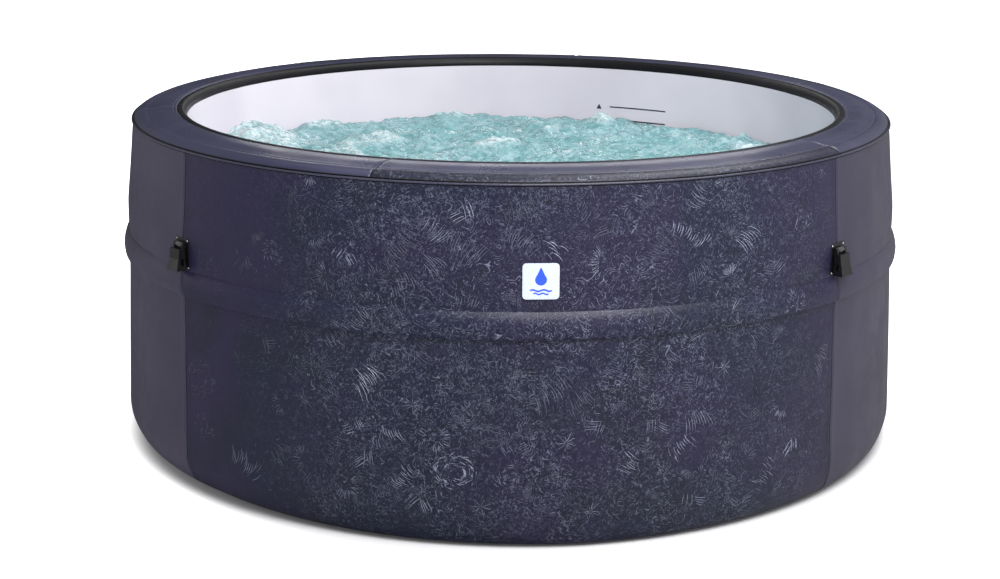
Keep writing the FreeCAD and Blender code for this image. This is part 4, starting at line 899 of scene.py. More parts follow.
    # extra strokes on the rim's shoulder, with a stronger painted highlight
    if v_hi > 0.70:
        n = int(560 * width)
        u0, v0 = g.uniform(0.01, width - 0.01, n), g.uniform(0.690, v_hi - 0.004, n)
        nb = 0.35 + 0.65 * spread(u0)
        add(u0, v0, g.normal(0.15, 0.55, n), g.uniform(0.005, 0.014, n), g.uniform(-0.7, 0.7, n), g.uniform(0.0012, 0.0020, n), g.uniform(0.0004, 0.0008, n), g.uniform(0.25, 0.9, n) * nb)
    return [np.concatenate(x) for x in (U, V, W, HH, T)]


def ridges(name, seed, az0, az1, v_lo, v_hi, keep_fn):
    width = (az1 - az0) * R
    U, V, W, HH, T = motifs(seed, width, v_lo, v_hi)
    AZ = az0 + U / R
    ok = (U.min(1) > 0.006) & (U.max(1) < width - 0.006) & (V.min(1) > v_lo) & (V.max(1) < v_hi)
    for z in (BELT0, BELT1):
        ok &= ~((V.min(1) < z + 0.0008) & (V.max(1) > z - 0.0008))
    ok &= ~((V.min(1) < 0.6895) & (V.max(1) > 0.6825))
    ok &= keep_fn(AZ, V).all(1)
    U, V, W, HH, T, AZ = U[ok], V[ok], W[ok], HH[ok], T[ok], AZ[ok]
    # painted highlight: strokes on the rim's shoulder are made 1.7 times lighter
    T = np.clip(T * np.where(V.mean(1) > 0.686, 1.7, 1.0), 0, 1)
    N, m = U.shape
    du, dv = np.gradient(U, axis=1), np.gradient(V, axis=1)
    ln = np.maximum(np.hypot(du, dv), 1e-9)
    px, py = -dv / ln, du / ln
    taper = np.sin(np.linspace(0.14, 0.86, m) * PI)[None, :] ** 0.8
    half = (W[:, None] * 0.72 / 2) * taper
    sunk = -0.00025
    left = surf(AZ + px * half / R, V + py * half, sunk)
    right = surf(AZ - px * half / R, V - py * half, sunk)
    crest = surf(AZ, V, HH[:, None] * taper)
    tip0 = surf(AZ[:, 0] - (du[:, 0] / ln[:, 0]) * 0.0012 / R, V[:, 0] - dv[:, 0] / ln[:, 0] * 0.0012, sunk)
    tip1 = surf(AZ[:, -1] + (du[:, -1] / ln[:, -1]) * 0.0012 / R, V[:, -1] + dv[:, -1] / ln[:, -1] * 0.0012, sunk)
    per = 3 * m + 2
    verts = np.concatenate([np.stack([left, crest, right], 2).reshape(N, 3 * m, 3), tip0[:, None], tip1[:, None]], 1)
    q, t = [], []
    for i in range(m - 1):
        for j in range(3):
            j2 = (j + 1) % 3
            q.append([3 * i + j, 3 * i + j2, 3 * (i + 1) + j2, 3 * (i + 1) + j])
    for j in range(3):
        j2 = (j + 1) % 3
        t.append([3 * m, j2, j])
        t.append([3 * m + 1, 3 * (m - 1) + j, 3 * (m - 1) + j2])
    base = (np.arange(N) * per)[:, None, None]
    quads = (np.array(q)[None] + base).reshape(-1, 4)
    tris = (np.array(t)[None] + base).reshape(-1, 3)
    tone = np.repeat(T, per)
    ob = make(name, verts.reshape(-1, 3), quads, tris, mats=[M["ridge"]], smooth_deg=180, attrs={"tone": tone})
    return ob, N


def clear_front(AZ, V):
    a = np.abs(wrap_pi(AZ - BADGE_AZ)) * R
    ok = ~((a < 0.0350) & (np.abs(V - BADGE_Z) < 0.0350))
    for c in CLIP_AZ[:2]:
        ok &= ~((np.abs(wrap_pi(AZ - math.radians(c))) * R < 0.028) & (np.abs(V - 0.487) < 0.036))
    lo, hi = math.radians(-17.8), math.radians(51.0)
    a2 = wrap_pi(AZ)
    ok &= (V < 0.686) | ((a2 > lo + 0.004) & (a2 < hi - 0.004))
    return ok


def clear_rear(AZ, V):
    a = wrap_pi(AZ)
    ok = np.ones(V.shape, bool)
    for c in CLIP_AZ[2:]:
        ok &= ~((np.abs(wrap_pi(AZ - math.radians(c))) * R < 0.028) & (np.abs(V - 0.487) < 0.036))
    ok &= ~((np.abs(wrap_pi(AZ - PI)) * R < 0.125) & (np.abs(V - 0.150) < 0.05))
    ok &= ~((np.abs(wrap_pi(AZ - math.radians(157.5))) * R < 0.022) & (np.abs(V - 0.046) < 0.022))
    ok &= ~((np.abs(wrap_pi(AZ + math.radians(157.5))) * R < 0.034) & (np.abs(V - 0.600) < 0.034))
    ok &= V < 0.684
    return ok


r_front, n1 = ridges("embossing_front", 11, SEAM_R[0], SEAM_R[1], 0.034, 0.718, clear_front)
r_rear, n2 = ridges("embossing_rear", 23, SEAM_R[2], SEAM_R[3], 0.034, 0.684, clear_rear)
print("strokes", n1, n2)

# ------------------------------------------------------------------ liner
def liner_r(az, z):
    w = smooth(0.02, 0.10, z) * smooth(0.68, 0.62, z)
    return 0.6950 + w * 0.0013 * (0.5 - 0.5 * np.cos(24 * np.asarray(az)))


NA = 384
a = np.linspace(0, 2 * PI, NA, endpoint=False)
zs = np.concatenate([[0.0172, 0.0185, 0.021, 0.026], np.linspace(0.04, 0.66, 44), [0.672, 0.6842]])
AZ, ZZ = np.meshgrid(a, zs, indexing="ij")
inn = cyl(AZ, liner_r(AZ, ZZ), ZZ)
out_ = cyl(AZ, liner_r(AZ, ZZ) + 0.0018, ZZ)
v, q = shell_arrays(out_, inn, wrap=True)
ob = make("liner_side", v, q, mats=[M["liner_white"]], smooth_deg=60)
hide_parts("liner_wall")


def disc(name, r_out, z_top, thick, mat, node, quilt=0.0, rings=60, na=180):
    rr = np.linspace(0.004, r_out, rings)
    a = np.linspace(0, 2 * PI, na, endpoint=False)
    A, RR = np.meshgrid(a, rr, indexing="ij")
    z = z_top - quilt * np.exp(-(((RR * 9.0) % 1.0 - 0.5) / 0.07) ** 2) * smooth(r_out, r_out - 0.02, RR)
    top, bot = cyl(A, RR, z), cyl(A, RR, np.full_like(z, z_top - thick))
    v, q = shell_arrays(top, bot, wrap=True)
    # close the small hole in the middle
    n = len(v)
    v = np.concatenate([v, [[0, 0, z_top], [0, 0, z_top - thick]]])
    o = np.arange(na) * rings
    p = o + na * rings
    o2, p2 = np.roll(o, -1), np.roll(p, -1)
    keep = ~((q[:, 0] % rings == 0) & (q[:, 1] % rings == 0) & (q[:, 2] % rings == 0) & (q[:, 3] % rings == 0))
    q = q[keep]
    t = np.concatenate([np.stack([o2, o, np.full(na, n)], -1), np.stack([p, p2, np.full(na, n + 1)], -1)])
    ob = make(name, v, q, t, mats=[mat], smooth_deg=60)
    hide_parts(node)
    return ob


disc("liner_base", 0.6945, 0.0170, 0.0016, M["liner_white"], "liner_floor", 0.0006)
disc("ground_cloth", 0.7965, 0.0028, 0.0026, M["pvc_grey"], "ground_sheet", 0.0003)


def arc_decal(name, a0, a1, z0f, half, mat, n=40):
    """A printed line on the liner between two azimuths, at height z0f(t), proud by a film's thickness."""
    t = np.linspace(0, 1, n)
    A = a0 + (a1 - a0) * t
    zc = z0f(t)
    rows = np.array([-1.0, -0.5, 0, 0.5, 1.0]) * half
    AA, ZZ = np.meshgrid(A, rows, indexing="ij")
    ZZ = ZZ + zc[:, None]
    front = cyl(AA, liner_r(AA, ZZ) - 0.0004, ZZ)
    back = cyl(AA, liner_r(AA, ZZ) + 0.0003, ZZ)
    return shell_arrays(front, back)


def tri_decal(ac, zc, size, up):
    """A small printed triangle on the liner."""
    k = np.linspace(0, 1, 7)
    rows = np.linspace(-1, 1, 7)
    KK, WW = np.meshgrid(k, rows, indexing="ij")
    half = size * 0.55 * (1.02 - KK)
    A = ac + WW * half / 0.695
    Z = zc + (KK - 0.5) * size * (1 if up else -1)
    return shell_arrays(cyl(A, liner_r(A, Z) - 0.0004, Z), cyl(A, liner_r(A, Z) + 0.0003, Z))


LV = [(0.5885, True), (0.5560, False)]
parts = []
for z0, up in LV:
    parts.append(arc_decal("", math.radians(159.0), math.radians(146.5), lambda t, z0=z0: z0 + 0 * t, 0.0016, None))
    parts.append(tri_decal(math.radians(161.3), z0, 0.012, up))
v, q, t3 = join(parts)
ob = make("level_marks", v, q, t3, mats=[M["mark_ink"]], smooth_deg=60)

# ------------------------------------------------------------------ water, aerated by the air ring
WZ = 0.556


def water_height(x, y):
    g = np.random.default_rng(77)
    h = np.zeros_like(x)
    for f, amp, k in ((3.2, 0.0050, 5), (7.0, 0.0042, 7), (13.0, 0.0030, 9), (24.0, 0.0017, 10)):
        for _ in range(k):
            d, p, ff = g.uniform(0, 2 * PI), g.uniform(0, 2 * PI), f * g.uniform(0.75, 1.3)
            w = np.sin(2 * PI * ff * (np.cos(d) * x + np.sin(d) * y) + p + 1.3 * np.sin(2 * PI * ff * 0.37 * (np.sin(d) * x - np.cos(d) * y) + p))
            h += amp / math.sqrt(k) * (1.6 * (1 - np.abs(w)) - 0.6)
    for _ in range(150):
        rr, an = 0.66 * math.sqrt(g.uniform(0.02, 1)), g.uniform(0, 2 * PI)
        cx, cy, s, amp = rr * math.cos(an), rr * math.sin(an), g.uniform(0.014, 0.060), g.uniform(0.002, 0.014)
        h += amp * np.exp(-((x - cx) ** 2 + (y - cy) ** 2) / (2 * s * s))
    rim_r = np.hypot(x, y)
    boil = smooth(0.40, 0.62, rim_r) * smooth(0.694, 0.668, rim_r)
    ang = np.arctan2(y, x)
    lump = waves(78, 7, 5, 22, ring=True)
    h += boil * (0.001 + 0.009 * lump(ang))
    h -= 0.004 * smooth(0.0, 0.6, y)
    h += 0.046 * np.exp(-((x + 0.64) ** 2 + (y - 0.22) ** 2) / (2 * 0.10 ** 2))
    h += 0.014 * np.exp(-((x + 0.44) ** 2 + (y - 0.40) ** 2) / (2 * 0.06 ** 2))
    h += 0.012 * np.exp(-((x - 0.50) ** 2 + (y - 0.20) ** 2) / (2 * 0.09 ** 2))
    return h


NR_, NA_ = ((128, 640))
rr = 0.6938 * np.linspace(0, 1, NR_ + 1)[1:]
a = np.linspace(0, 2 * PI, NA_, endpoint=False)
A, RR = np.meshgrid(a, rr, indexing="ij")
X, Y = RR * np.sin(A), -RR * np.cos(A)
h = water_height(X, Y)
h = h * (1 - 0.35 * smooth(0.66, 0.6938, RR))
top = np.stack([X, Y, WZ + h], -1)
bot = np.stack([X, Y, np.full_like(X, 0.500)], -1)
v, q = shell_arrays(top, bot, wrap=True)
ns = NR_
keep = ~((q % ns == 0).all(1))
q = q[keep]
o = np.arange(NA_) * ns
p = o + NA_ * ns
n0 = len(v)
hc = float(water_height(np.zeros(1), np.zeros(1))[0])
v = np.concatenate([v, [[0, 0, WZ + hc], [0, 0, 0.500]]])
t3 = np.concatenate([np.stack([np.roll(o, -1), o, np.full(NA_, n0)], -1), np.stack([p, np.roll(p, -1), np.full(NA_, n0 + 1)], -1)])
hn = (h - h.mean()) / h.std()
crest = smooth(1.0, 2.6, hn) * 0.55 + 0.15 * smooth(0.655, 0.690, RR) * smooth(-0.5, 1.0, hn)
foam = np.concatenate([np.clip(crest, 0, 1).ravel(), np.zeros(NA_ * NR_), [0, 0]])
ob = make("bath_water", v, q, t3, mats=[M["water"]], smooth_deg=180, attrs={"foam": foam})

# ------------------------------------------------------------------ badge with a plain drop and two wave lines
def on_wall(u, v_, lift, az_c=BADGE_AZ, z_c=BADGE_Z):
    az_ = az_c + np.asarray(u) / R
    z_ = z_c + np.asarray(v_)
    return cyl(az_, R + lift, z_)


def star_plate(outline, lift_top, lift_bot, az_c=BADGE_AZ, z_c=BADGE_Z, dome=0.0, centre=None, rings=6):
    """A closed thin plate on the wall from an outline seen from its centre."""
    outline = np.asarray(outline, float)
    c = outline.mean(0) if centre is None else np.asarray(centre, float)
    k = len(outline)
    fs = np.concatenate([np.linspace(0, 1, rings + 1)[1:-1], [0.975, 1.0]])
    lt = [lift_top + dome * (1 - f * f) - (0.0003 if f == 1.0 else 0.0) for f in fs]
    top = np.array([on_wall(*(c + (outline - c) * f).T, l, az_c, z_c) for f, l in zip(fs, lt)])
    bot = np.array([on_wall(*(c + (outline - c) * f).T, lift_bot, az_c, z_c) for f in fs])
    nr = len(fs)
    verts = np.concatenate([top.reshape(-1, 3), bot.reshape(-1, 3), on_wall(*c, lift_top + dome, az_c, z_c).reshape(1, 3), on_wall(*c, lift_bot, az_c, z_c).reshape(1, 3)])
    o = np.arange(nr * k).reshape(nr, k)
    p = o + nr * k
    J, J2 = np.arange(k), (np.arange(k) + 1) % k
    q = []
    for i in range(nr - 1):
        q.append(np.stack([o[i, J], o[i + 1, J], o[i + 1, J2], o[i, J2]], -1))
        q.append(np.stack([p[i, J], p[i, J2], p[i + 1, J2], p[i + 1, J]], -1))
    q.append(np.stack([o[-1, J], p[-1, J], p[-1, J2], o[-1, J2]], -1))
    n = 2 * nr * k
    t = np.concatenate([np.stack([o[0, J], o[0, J2], np.full(k, n)], -1), np.stack([p[0, J2], p[0, J], np.full(k, n + 1)], -1)])
    return verts, np.concatenate(q), t


def rounded_square(half, rad, n=10):
    pts = []
    for cx, cy, a0 in ((1, 1, 0), (-1, 1, PI / 2), (-1, -1, PI), (1, -1, 1.5 * PI)):
        for k in range(n + 1):
            t = a0 + PI / 2 * k / n
            pts.append((cx * (half - rad) + rad * math.cos(t), cy * (half - rad) + rad * math.sin(t)))
        # points along the side to the next corner
    full = []
    for i, p in enumerate(pts):
        full.append(p)
        nx = pts[(i + 1) % len(pts)]
        gap = math.hypot(nx[0] - p[0], nx[1] - p[1])
        if gap > 0.01:
            for k in range(1, 8):
                full.append((p[0] + (nx[0] - p[0]) * k / 8, p[1] + (nx[1] - p[1]) * k / 8))
    return full


v, q, t3 = star_plate(rounded_square(0.033, 0.007), 0.0022, 0.0003, dome=0.0006)
ob = make("badge", v, q, t3, mats=[M["badge_white"]], smooth_deg=50)
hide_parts("badge_plate")
drop = []
for k in range(48):
    t = 2 * PI * k / 48
    rr_ = 0.0105
    x, y = rr_ * math.sin(t), -rr_ * math.cos(t)
    if y > 0:
        f = (y / rr_)
        y = y * (1 + 1.05 * f * f)
        x = x * (1 - 0.55 * f * f)
    drop.append((x, y + 0.0035))
parts = [star_plate(drop, 0.0034, 0.0024, centre=(0, 0.0045))]


def wave_bar(v0, half_len, amp, half_th, lift_top, lift_bot):
    u = np.linspace(-half_len, half_len, 60)
    c = v0 + amp * np.sin(u / half_len * 2.0 * PI)
    rows = np.array([-1, -0.5, 0, 0.5, 1.0]) * half_th
    UU, WW = np.meshgrid(u, rows, indexing="ij")
    end = np.sqrt(np.clip(1 - (np.abs(UU) / half_len) ** 14, 0.02, 1))
    VV = c[:, None] + WW * end
    return shell_arrays(on_wall(UU, VV, lift_top), on_wall(UU, VV, lift_bot))


parts.append(wave_bar(-0.0165, 0.020, 0.0014, 0.0015, 0.0030, 0.0021))
parts.append(wave_bar(-0.0225, 0.014, 0.0012, 0.0012, 0.0030, 0.0021))
v, q, t3 = join(parts)
ob = make("badge_drop", v, q, t3, mats=[M["badge_blue"]], smooth_deg=50)

# ------------------------------------------------------------------ clip patches with corner tacks, and webbing
def dome_arrays(az_c, z_c, rad, high, lift):
    rings, k = 5, 16
    parts_v = []
    th = np.linspace(0, PI / 2, rings + 1)[1:]
    ph = np.linspace(0, 2 * PI, k, endpoint=False)
    for t in th:
        parts_v.append(on_wall(rad * math.sin(t) * np.cos(ph), rad * math.sin(t) * np.sin(ph), lift + high * math.cos(t), az_c, z_c))
    base = on_wall(rad * np.cos(ph), rad * np.sin(ph), lift - 0.0004, az_c, z_c)
    parts_v.append(base)
    vv = np.concatenate(parts_v + [on_wall(0.0, 0.0, lift + high, az_c, z_c).reshape(1, 3), on_wall(0.0, 0.0, lift - 0.0004, az_c, z_c).reshape(1, 3)])
    nr = rings + 1
    o = np.arange(nr * k).reshape(nr, k)
    J, J2 = np.arange(k), (np.arange(k) + 1) % k
    q = [np.stack([o[i, J], o[i + 1, J], o[i + 1, J2], o[i, J2]], -1) for i in range(nr - 1)]
    n = nr * k
    t = np.concatenate([np.stack([o[0, J], o[0, J2], np.full(k, n)], -1), np.stack([o[-1, J2], o[-1, J], np.full(k, n + 1)], -1)])
    return vv, np.concatenate(q), t


def rounded_rect(hw, hh, rad, n=6):
    pts = []
    for cx, cy, a0 in ((1, 1, 0), (-1, 1, PI / 2), (-1, -1, PI), (1, -1, 1.5 * PI)):
        for k in range(n + 1):
            t = a0 + PI / 2 * k / n
            pts.append((cx * (hw - rad) + rad * math.cos(t), cy * (hh - rad) + rad * math.sin(t)))
    full = []
    for i, p in enumerate(pts):
        full.append(p)
        nx = pts[(i + 1) % len(pts)]
        gap = math.hypot(nx[0] - p[0], nx[1] - p[1])
        if gap > 0.008:
            for k in range(1, 7):
                full.append((p[0] + (nx[0] - p[0]) * k / 7, p[1] + (nx[1] - p[1]) * k / 7))
    return full


patch_parts, tack_parts, web_parts = [], [], []
for c in CLIP_AZ:
    ac = math.radians(c)
    patch_parts.append(star_plate(rounded_rect(0.0235, 0.0315, 0.005), 0.00125, 0.0001, ac, 0.4875, dome=0.0))
    for du_, dz_ in ((-1, -1), (1, -1), (-1, 1), (1, 1)):
        tack_parts.append(dome_arrays(ac + du_ * 0.0192 / R, 0.4875 + dz_ * 0.0268, 0.0023, 0.0013, 0.0012))
    # webbing: a tail stitched flat to the patch and a loop round the clip's bar
    path = []
    bar_r, bar_z, rad = R + 0.0063, 0.506, 0.0037
    for zz in np.linspace(0.4815, 0.5025, 9):
        path.append((R + 0.00225, zz))
    for t in np.linspace(PI, -PI * 0.62, 18):
        path.append((bar_r + rad * math.cos(t) , bar_z + rad * math.sin(t)))
    path = np.array(path)
    tg = np.gradient(path, axis=0)
    tg /= np.linalg.norm(tg, axis=1, keepdims=True)
    nn = np.stack([tg[:, 1], -tg[:, 0]], -1)
    w = np.linspace(-0.0098, 0.0098, 25)
    rib = 0.00012 * np.cos(w / 0.0098 * PI * 8)
    edge = smooth(0.0098, 0.0090, np.abs(w)) * 0.6 + 0.4
    outer = np.empty((len(path), len(w), 3))
    inner = np.empty_like(outer)
    for k in range(len(path)):
        th_ = (0.0007 + rib) * edge
        ro, zo = path[k, 0] + nn[k, 0] * th_, path[k, 1] + nn[k, 1] * th_
        ri, zi = path[k, 0] - nn[k, 0] * th_, path[k, 1] - nn[k, 1] * th_
        outer[k] = cyl(ac + w / R, ro, zo)
        inner[k] = cyl(ac + w / R, ri, zi)
    web_parts.append(shell_arrays(outer, inner))
v, q, t3 = join(patch_parts)
ob = make("strap_patches", v, q, t3, mats=[M["patch_black"]], smooth_deg=45)
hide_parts("clip_patches")
v, q, t3 = join(tack_parts)
ob = make("patch_tacks", v, q, t3, mats=[M["steel"]], smooth_deg=60)
v, q, t3 = join(web_parts)
ob = make("strap_webbing", v, q, t3, mats=[M["webbing_black"]], smooth_deg=60)
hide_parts("clip_straps")


# ------------------------------------------------------------------ the filled wall's slight lean
LEAN_Z = np.array([0.0, 0.050, 0.100, 0.160, 0.230, 0.300, 0.360, 0.400, 0.450, 0.500, 0.520, 0.545, 0.575, 0.615, 0.660, 0.686, 0.720])
LEAN_R = np.array([15.0, 14.0, 12.0, 9.8, 7.2, 4.4, 1.8, 0.4, 0.0, 0.0, -0.6, -3.2, -6.6, -10.6, -15.0, -18.0, -19.5]) / 1000.0


def lean(ob):
    """The wall swells low down and draws in at its top, most at the sides and not at all behind, where the unit and fittings sit. Its lowest 75 mm tucks under."""
    me = ob.data
    co = np.empty(3 * len(me.vertices), np.float32)
    me.vertices.foreach_get("co", co)
    co = co.reshape(-1, 3).astype(float)
    r = np.maximum(np.hypot(co[:, 0], co[:, 1]), 1e-6)
    a = np.degrees(np.abs(np.arctan2(co[:, 0], -co[:, 1])))
    w = np.interp(a, [0, 25, 50, 75, 100, 118, 140, 180], [0.30, 0.36, 0.72, 0.98, 1.0, 0.72, 0.0, 0.0])
    dr = w * np.interp(co[:, 2], LEAN_Z, LEAN_R) * smooth(0.735, 0.802, r)
    s_ = np.degrees(np.arctan2(co[:, 0], -co[:, 1]))
    tuck = np.interp(s_, [-180, -140, -110, -80, -45, -20, 10, 40, 75, 110, 140, 180], [0.0, 0.0, 18.0, 36.0, 38.0, 20.0, 5.0, 17.0, 25.0, 15.0, 0.0, 0.0]) / 1000.0
    dr -= tuck * np.clip(1.0 - co[:, 2] / 0.075, 0.0, 1.0) ** 1.7 * smooth(0.735, 0.802, r)
    co[:, :2] *= ((r + dr) / r)[:, None]
    me.vertices.foreach_set("co", co.astype(np.float32).ravel())
    me.update()


cells = frame["nodes"]["air_cells"]
filled = bpy.data.objects.new("filled_cells", cells.data.copy())
bpy.context.scene.collection.objects.link(filled)
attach(filled, "tub")
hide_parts("air_cells")
for o_ in list(bpy.data.objects):
    if o_.name in ("filled_cells", "wall_seams", "rim_seams", "rim_welt", "welt_line_upper", "welt_line_lower", "embossing_front", "embossing_rear", "ground_cloth", "badge", "badge_drop",
                   "strap_patches", "patch_tacks", "strap_webbing") or o_.name.startswith(("cover_front", "cover_right", "cover_rear", "cover_left", "belt_", "rim_gore_")):
        if o_.type == "MESH" and o_.name not in frame["nodes"]:
            lean(o_)


# ------------------------------------------------------------------ control panel: digits, ring and icons
def flat_plate(outline, z0, z1, centre=None, bevel=0.00012):
    outline = np.asarray(outline, float)
    c = outline.mean(0) if centre is None else np.asarray(centre, float)
    k = len(outline)
    low = np.column_stack([outline, np.full(k, z0)])
    mid = np.column_stack([outline, np.full(k, z1 - bevel)])
    ins = c + (outline - c) * 0.96
    top = np.column_stack([ins, np.full(k, z1)])
    verts = np.concatenate([low, mid, top, [[*c, z0]], [[*c, z1]]])
    J, J2 = np.arange(k), (np.arange(k) + 1) % k
    q = np.concatenate([np.stack([J, J2, J2 + k, J + k], -1), np.stack([J + k, J2 + k, J2 + 2 * k, J + 2 * k], -1)])
    t = np.concatenate([np.stack([J2, J, np.full(k, 3 * k)], -1), np.stack([J + 2 * k, J2 + 2 * k, np.full(k, 3 * k + 1)], -1)])
    return verts, q, t


def bar(x0, y0, x1, y1, th):
    d = np.array([x1 - x0, y1 - y0]); L = np.linalg.norm(d); d = d / L
    n = np.array([-d[1], d[0]]) * th / 2
    p0, p1 = np.array([x0, y0]), np.array([x1, y1])
    return [tuple(p0 - n * 1), tuple(p0 + d * 0 - n), tuple(p1 - n), tuple(p1 + d * th * 0.5), tuple(p1 + n), tuple(p0 + n), tuple(p0 - d * th * 0.5)][1:]


def ring_plate(cx, cy, r0, r1, z0, z1, a0=0.0, a1=2 * PI, n=40):
    full = abs(a1 - a0 - 2 * PI) < 1e-6
    t = np.linspace(a0, a1, n, endpoint=not full)
    rows = np.linspace(r0, r1, 4)
    TT, RR_ = np.meshgrid(t, rows, indexing="ij")
    topg = np.stack([cx + RR_ * np.cos(TT), cy + RR_ * np.sin(TT), np.full_like(TT, z1)], -1)
    botg = topg.copy(); botg[..., 2] = z0
    return shell_arrays(topg, botg, wrap=full)


seg = {"a": (0, 1), "b": (1, .5), "c": (1, -.5), "d": (0, -1), "e": (-1, -.5), "f": (-1, .5), "g": (0, 0)}
digit = {"3": "abgcd", "8": "abcdefg"}
dx0, dy0, zt = 0.0, 1.127, 0.4513
lit = []
for ch, cx in (("3", -0.0085), ("8", 0.0085)):
    for s in digit[ch]:
        sx, sy = seg[s]
        hw, hh = 0.0038, 0.0075
        x, y = cx + sx * hw, dy0 + sy * hh
        if s in "adg":
            lit.append(flat_plate(bar(x - 0.0028, y, x + 0.0028, y, 0.0013), zt, zt + 0.0003))
        else:
            lit.append(flat_plate(bar(x, y - 0.0030, x, y + 0.0030, 0.0013), zt, zt + 0.0003))
lit.append(ring_plate(0.0185, dy0 + 0.0075, 0.0008, 0.0014, zt, zt + 0.0003, n=20))
v, q, t3 = join(lit)
ob = make("display_digits", v, q, t3, mats=[M["display_lit"]], smooth_deg=30)
BY, BZ = 1.121, 0.4542
icons = {
    "power_button": [ring_plate(-0.084, BY, 0.0036, 0.0046, BZ - 0.0001, BZ + 0.00025, math.radians(125), math.radians(415)), flat_plate(bar(-0.084, BY + 0.0015, -0.084, BY + 0.0055, 0.0011), BZ - 0.0001, BZ + 0.00025)],
    "heat_button": [],
    "bubble_button": [ring_plate(0.044 + x, BY + y, r_ - 0.0007, r_, BZ - 0.0001, BZ + 0.00025, n=24) for x, y, r_ in ((-0.0028, -0.0022, 0.0022), (0.0026, -0.0008, 0.0017), (-0.0005, 0.0036, 0.0014))],
    "filter_button": [ring_plate(0.084, BY, 0.0040, 0.0049, BZ - 0.0001, BZ + 0.00025)] + [flat_plate(bar(0.084 + x, BY - 0.0024, 0.084 + x, BY + 0.0024, 0.0009), BZ - 0.0001, BZ + 0.00025) for x in (-0.0018, 0.0, 0.0018)],
}
for k in (-1, 0, 1):
    yy = np.linspace(-0.0042, 0.0042, 24)
    xx = -0.044 + k * 0.0028 + 0.0009 * np.sin(yy / 0.0042 * PI)
    rows = np.array([-0.00045, 0, 0.00045])
    XX = xx[:, None] + rows[None, :]
    YY = np.broadcast_to((BY + yy)[:, None], XX.shape)
    tg_ = np.stack([XX, YY, np.full(XX.shape, BZ + 0.00025)], -1)
    bt_ = tg_.copy(); bt_[..., 2] = BZ - 0.0001
    icons["heat_button"].append(shell_arrays(tg_, bt_))
for body, parts in icons.items():
    v, q, t3 = join(parts)
    ob = make("icon_" + body.split("_")[0], v, q, t3, mats=[M["icon_white"]], smooth_deg=30, body=body)

# ------------------------------------------------------------------ floor, light and camera
me = bpy.data.meshes.new("floor")
S = 14.0
me.from_pydata([(-S, -S, 0), (S, -S, 0), (S, S, 0), (-S, S, 0)], [], [(0, 1, 2, 3)])
floor = bpy.data.objects.new("floor", me)
floor.location.z = -0.0002
bpy.context.scene.collection.objects.link(floor)
fm, fnt, fbs = nodes_of("floor")
fbs.inputs["Roughness"].default_value = 0.9
fbs.inputs["Specular IOR Level"].default_value = 0.0
fcol = mix(fnt, noise(fnt, coords(fnt), 3.0, 2.0), (0.88, 0.88, 0.88), (0.90, 0.90, 0.90))
fnt.links.new(fcol, fbs.inputs["Base Color"])
me.materials.append(fm)
# The floor glows by its emission: dimmest next to the tub's foot (painted contact shadow), brighter with distance
# (painted light), and raised on the left near the foot (painted light thinning the shadow there).
fnt.links.new(fcol, fbs.inputs["Emission Color"])
fl = nd(fnt, "ShaderNodeVectorMath", _operation="LENGTH")
fnt.links.new(coords(fnt), fl.inputs[0])
fsp = nd(fnt, "ShaderNodeSeparateXYZ")
fnt.links.new(coords(fnt), fsp.inputs[0])
foot_ = maths(fnt, "ADD", ramp(fnt, fsp.outputs["X"], -0.70, -0.15, 0.026, 0.0), ramp(fnt, fsp.outputs["X"], 0.15, 0.70, 0.0, 0.012))
foot_ = maths(fnt, "ADD", fl.outputs["Value"], foot_)
painted_contact_shadow = ramp(fnt, foot_, 0.826, 0.925, 0.02, 0.74)
painted_far_light = ramp(fnt, fl.outputs["Value"], 0.95, 2.2, 0.0, 0.60)
painted_left_light = maths(fnt, "MULTIPLY", ramp(fnt, fsp.outputs["X"], -0.85, -0.25, 1.0, 0.0), ramp(fnt, foot_, 0.826, 0.890, 0.05, 0.80))
fnt.links.new(maths(fnt, "ADD", maths(fnt, "ADD", painted_contact_shadow, painted_far_light), painted_left_light), fbs.inputs["Emission Strength"])
floor.visible_glossy = False

world = bpy.data.worlds.new("studio")
bpy.context.scene.world = world
world.use_nodes = True
wt = world.node_tree
bg = wt.nodes["Background"]
tc = nd(wt, "ShaderNodeTexCoord")
sp = nd(wt, "ShaderNodeSeparateXYZ")
wt.links.new(tc.outputs["Generated"], sp.inputs[0])
up = ramp(wt, sp.outputs["Z"], 0.0, 1.0, 0.0, 1.0)
W_UP, W_RIGHT, W_LEFT, W_BACK, W_ALL, W_FRONT = 0.15, 0.60, 0.25, 0.0, 0.05, 0.26
rt = ramp(wt, sp.outputs["X"], 0.0, 1.0, 0.0, 1.0)
lf = ramp(wt, maths(wt, "MULTIPLY", sp.outputs["X"], -1.0), 0.2, 1.0, 0.0, 1.0)
bk = ramp(wt, sp.outputs["Y"], 0.1, 1.0, 0.0, 1.0)
env = maths(wt, "ADD", maths(wt, "ADD", maths(wt, "MULTIPLY", up, W_UP), maths(wt, "MULTIPLY", rt, W_RIGHT)), maths(wt, "ADD", maths(wt, "MULTIPLY", lf, W_LEFT), W_ALL))
fr = ramp(wt, maths(wt, "MULTIPLY", sp.outputs["Y"], -1.0), 0.1, 1.0, 0.0, 1.0)
env = maths(wt, "ADD", env, maths(wt, "ADD", maths(wt, "MULTIPLY", bk, W_BACK), maths(wt, "MULTIPLY", fr, W_FRONT)))
lp = nd(wt, "ShaderNodeLightPath")
strength = maths(wt, "ADD", maths(wt, "MULTIPLY", maths(wt, "SUBTRACT", 1.0, lp.outputs["Is Camera Ray"]), env), maths(wt, "MULTIPLY", lp.outputs["Is Camera Ray"], 1.05))
wt.links.new(strength, bg.inputs["Strength"])
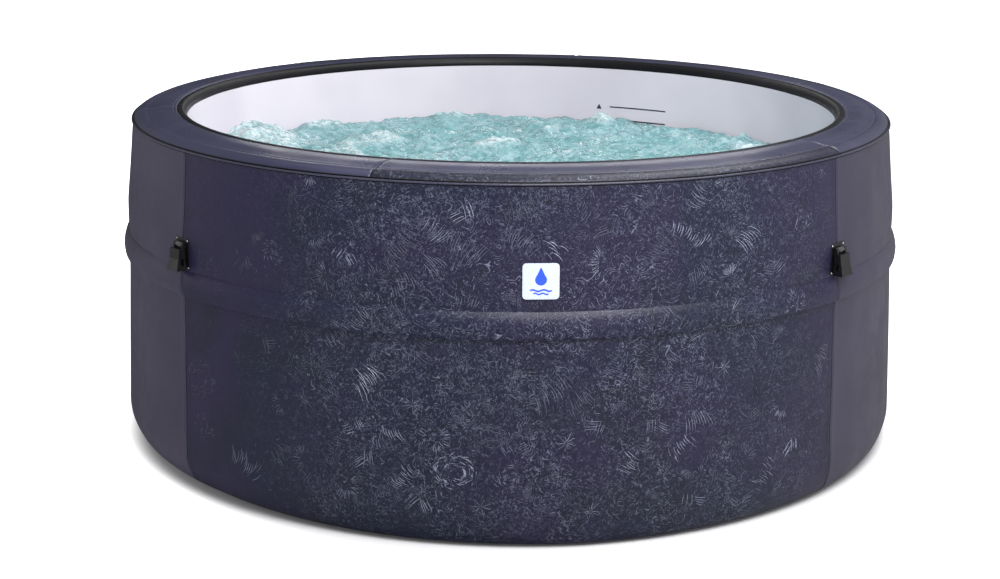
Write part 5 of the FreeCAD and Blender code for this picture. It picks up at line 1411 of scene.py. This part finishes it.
bg.inputs["Color"].default_value = (1.0, 1.0, 1.0, 1)


def area(name, loc, target, size, power, color=(1, 1, 1), size_y=None, spec=1.0):
    li = bpy.data.lights.new(name, "AREA")
    li.shape = "RECTANGLE"
    li.size, li.size_y = size, size_y or size
    li.energy, li.color = power, color
    li.specular_factor = spec
    ob = bpy.data.objects.new(name, li)
    bpy.context.scene.collection.objects.link(ob)
    ob.location = loc
    ob.rotation_mode = "QUATERNION"
    ob.rotation_quaternion = (Vector(target) - Vector(loc)).to_track_quat("-Z", "Y")
    ob.visible_camera = False
    return ob


area("top", (1.1, 0.3, 2.9), (0.2, -0.2, 0.5), 1.5, 36, (1.0, 0.99, 0.99))
area("fill", (0.9, -2.4, 2.9), (0.1, -0.6, 0.6), 2.0, 100, (0.99, 0.98, 1.0), spec=0.25)
area("near", (0.35, -1.75, 1.75), (0.1, -0.5, 0.6), 0.9, 10, (0.99, 0.98, 1.0), spec=0.6)
area("left", (-3.8, 0.4, 1.2), (0, 0, 0.4), 1.6, 5, (1.0, 0.98, 0.98))
area("wash", (0.0, 0.4, 5.0), (0, 0.0, 0.0), 5.0, 50, (1.0, 1.0, 1.0), spec=0.3)
area("glow", (0.0, 0.55, 1.0), (0.0, -0.8, 0.7), 1.3, 2.0, (1.0, 0.99, 1.0), size_y=0.2)

cam_d = bpy.data.cameras.new("camera")
cam = bpy.data.objects.new("camera", cam_d)
bpy.context.scene.collection.objects.link(cam)
cam_d.sensor_width = 36.0
cam_d.lens = 68.05
cam_d.clip_start, cam_d.clip_end = 0.05, 100.0
cam.matrix_world = (Matrix.Translation((0.0, -4.0762, 1.3484)) @ Matrix.Rotation(math.radians(0.2904), 4, "Z")
                    @ Matrix.Rotation(PI / 2 - 0.2562, 4, "X") @ Matrix.Rotation(0.007, 4, "Z"))
bpy.context.scene.camera = cam
vs = bpy.context.scene.view_settings
vs.view_transform = "Standard"
vs.look = "None"
vs.exposure = 0.0
vs.gamma = 1.0

bpy.context.view_layer.update()
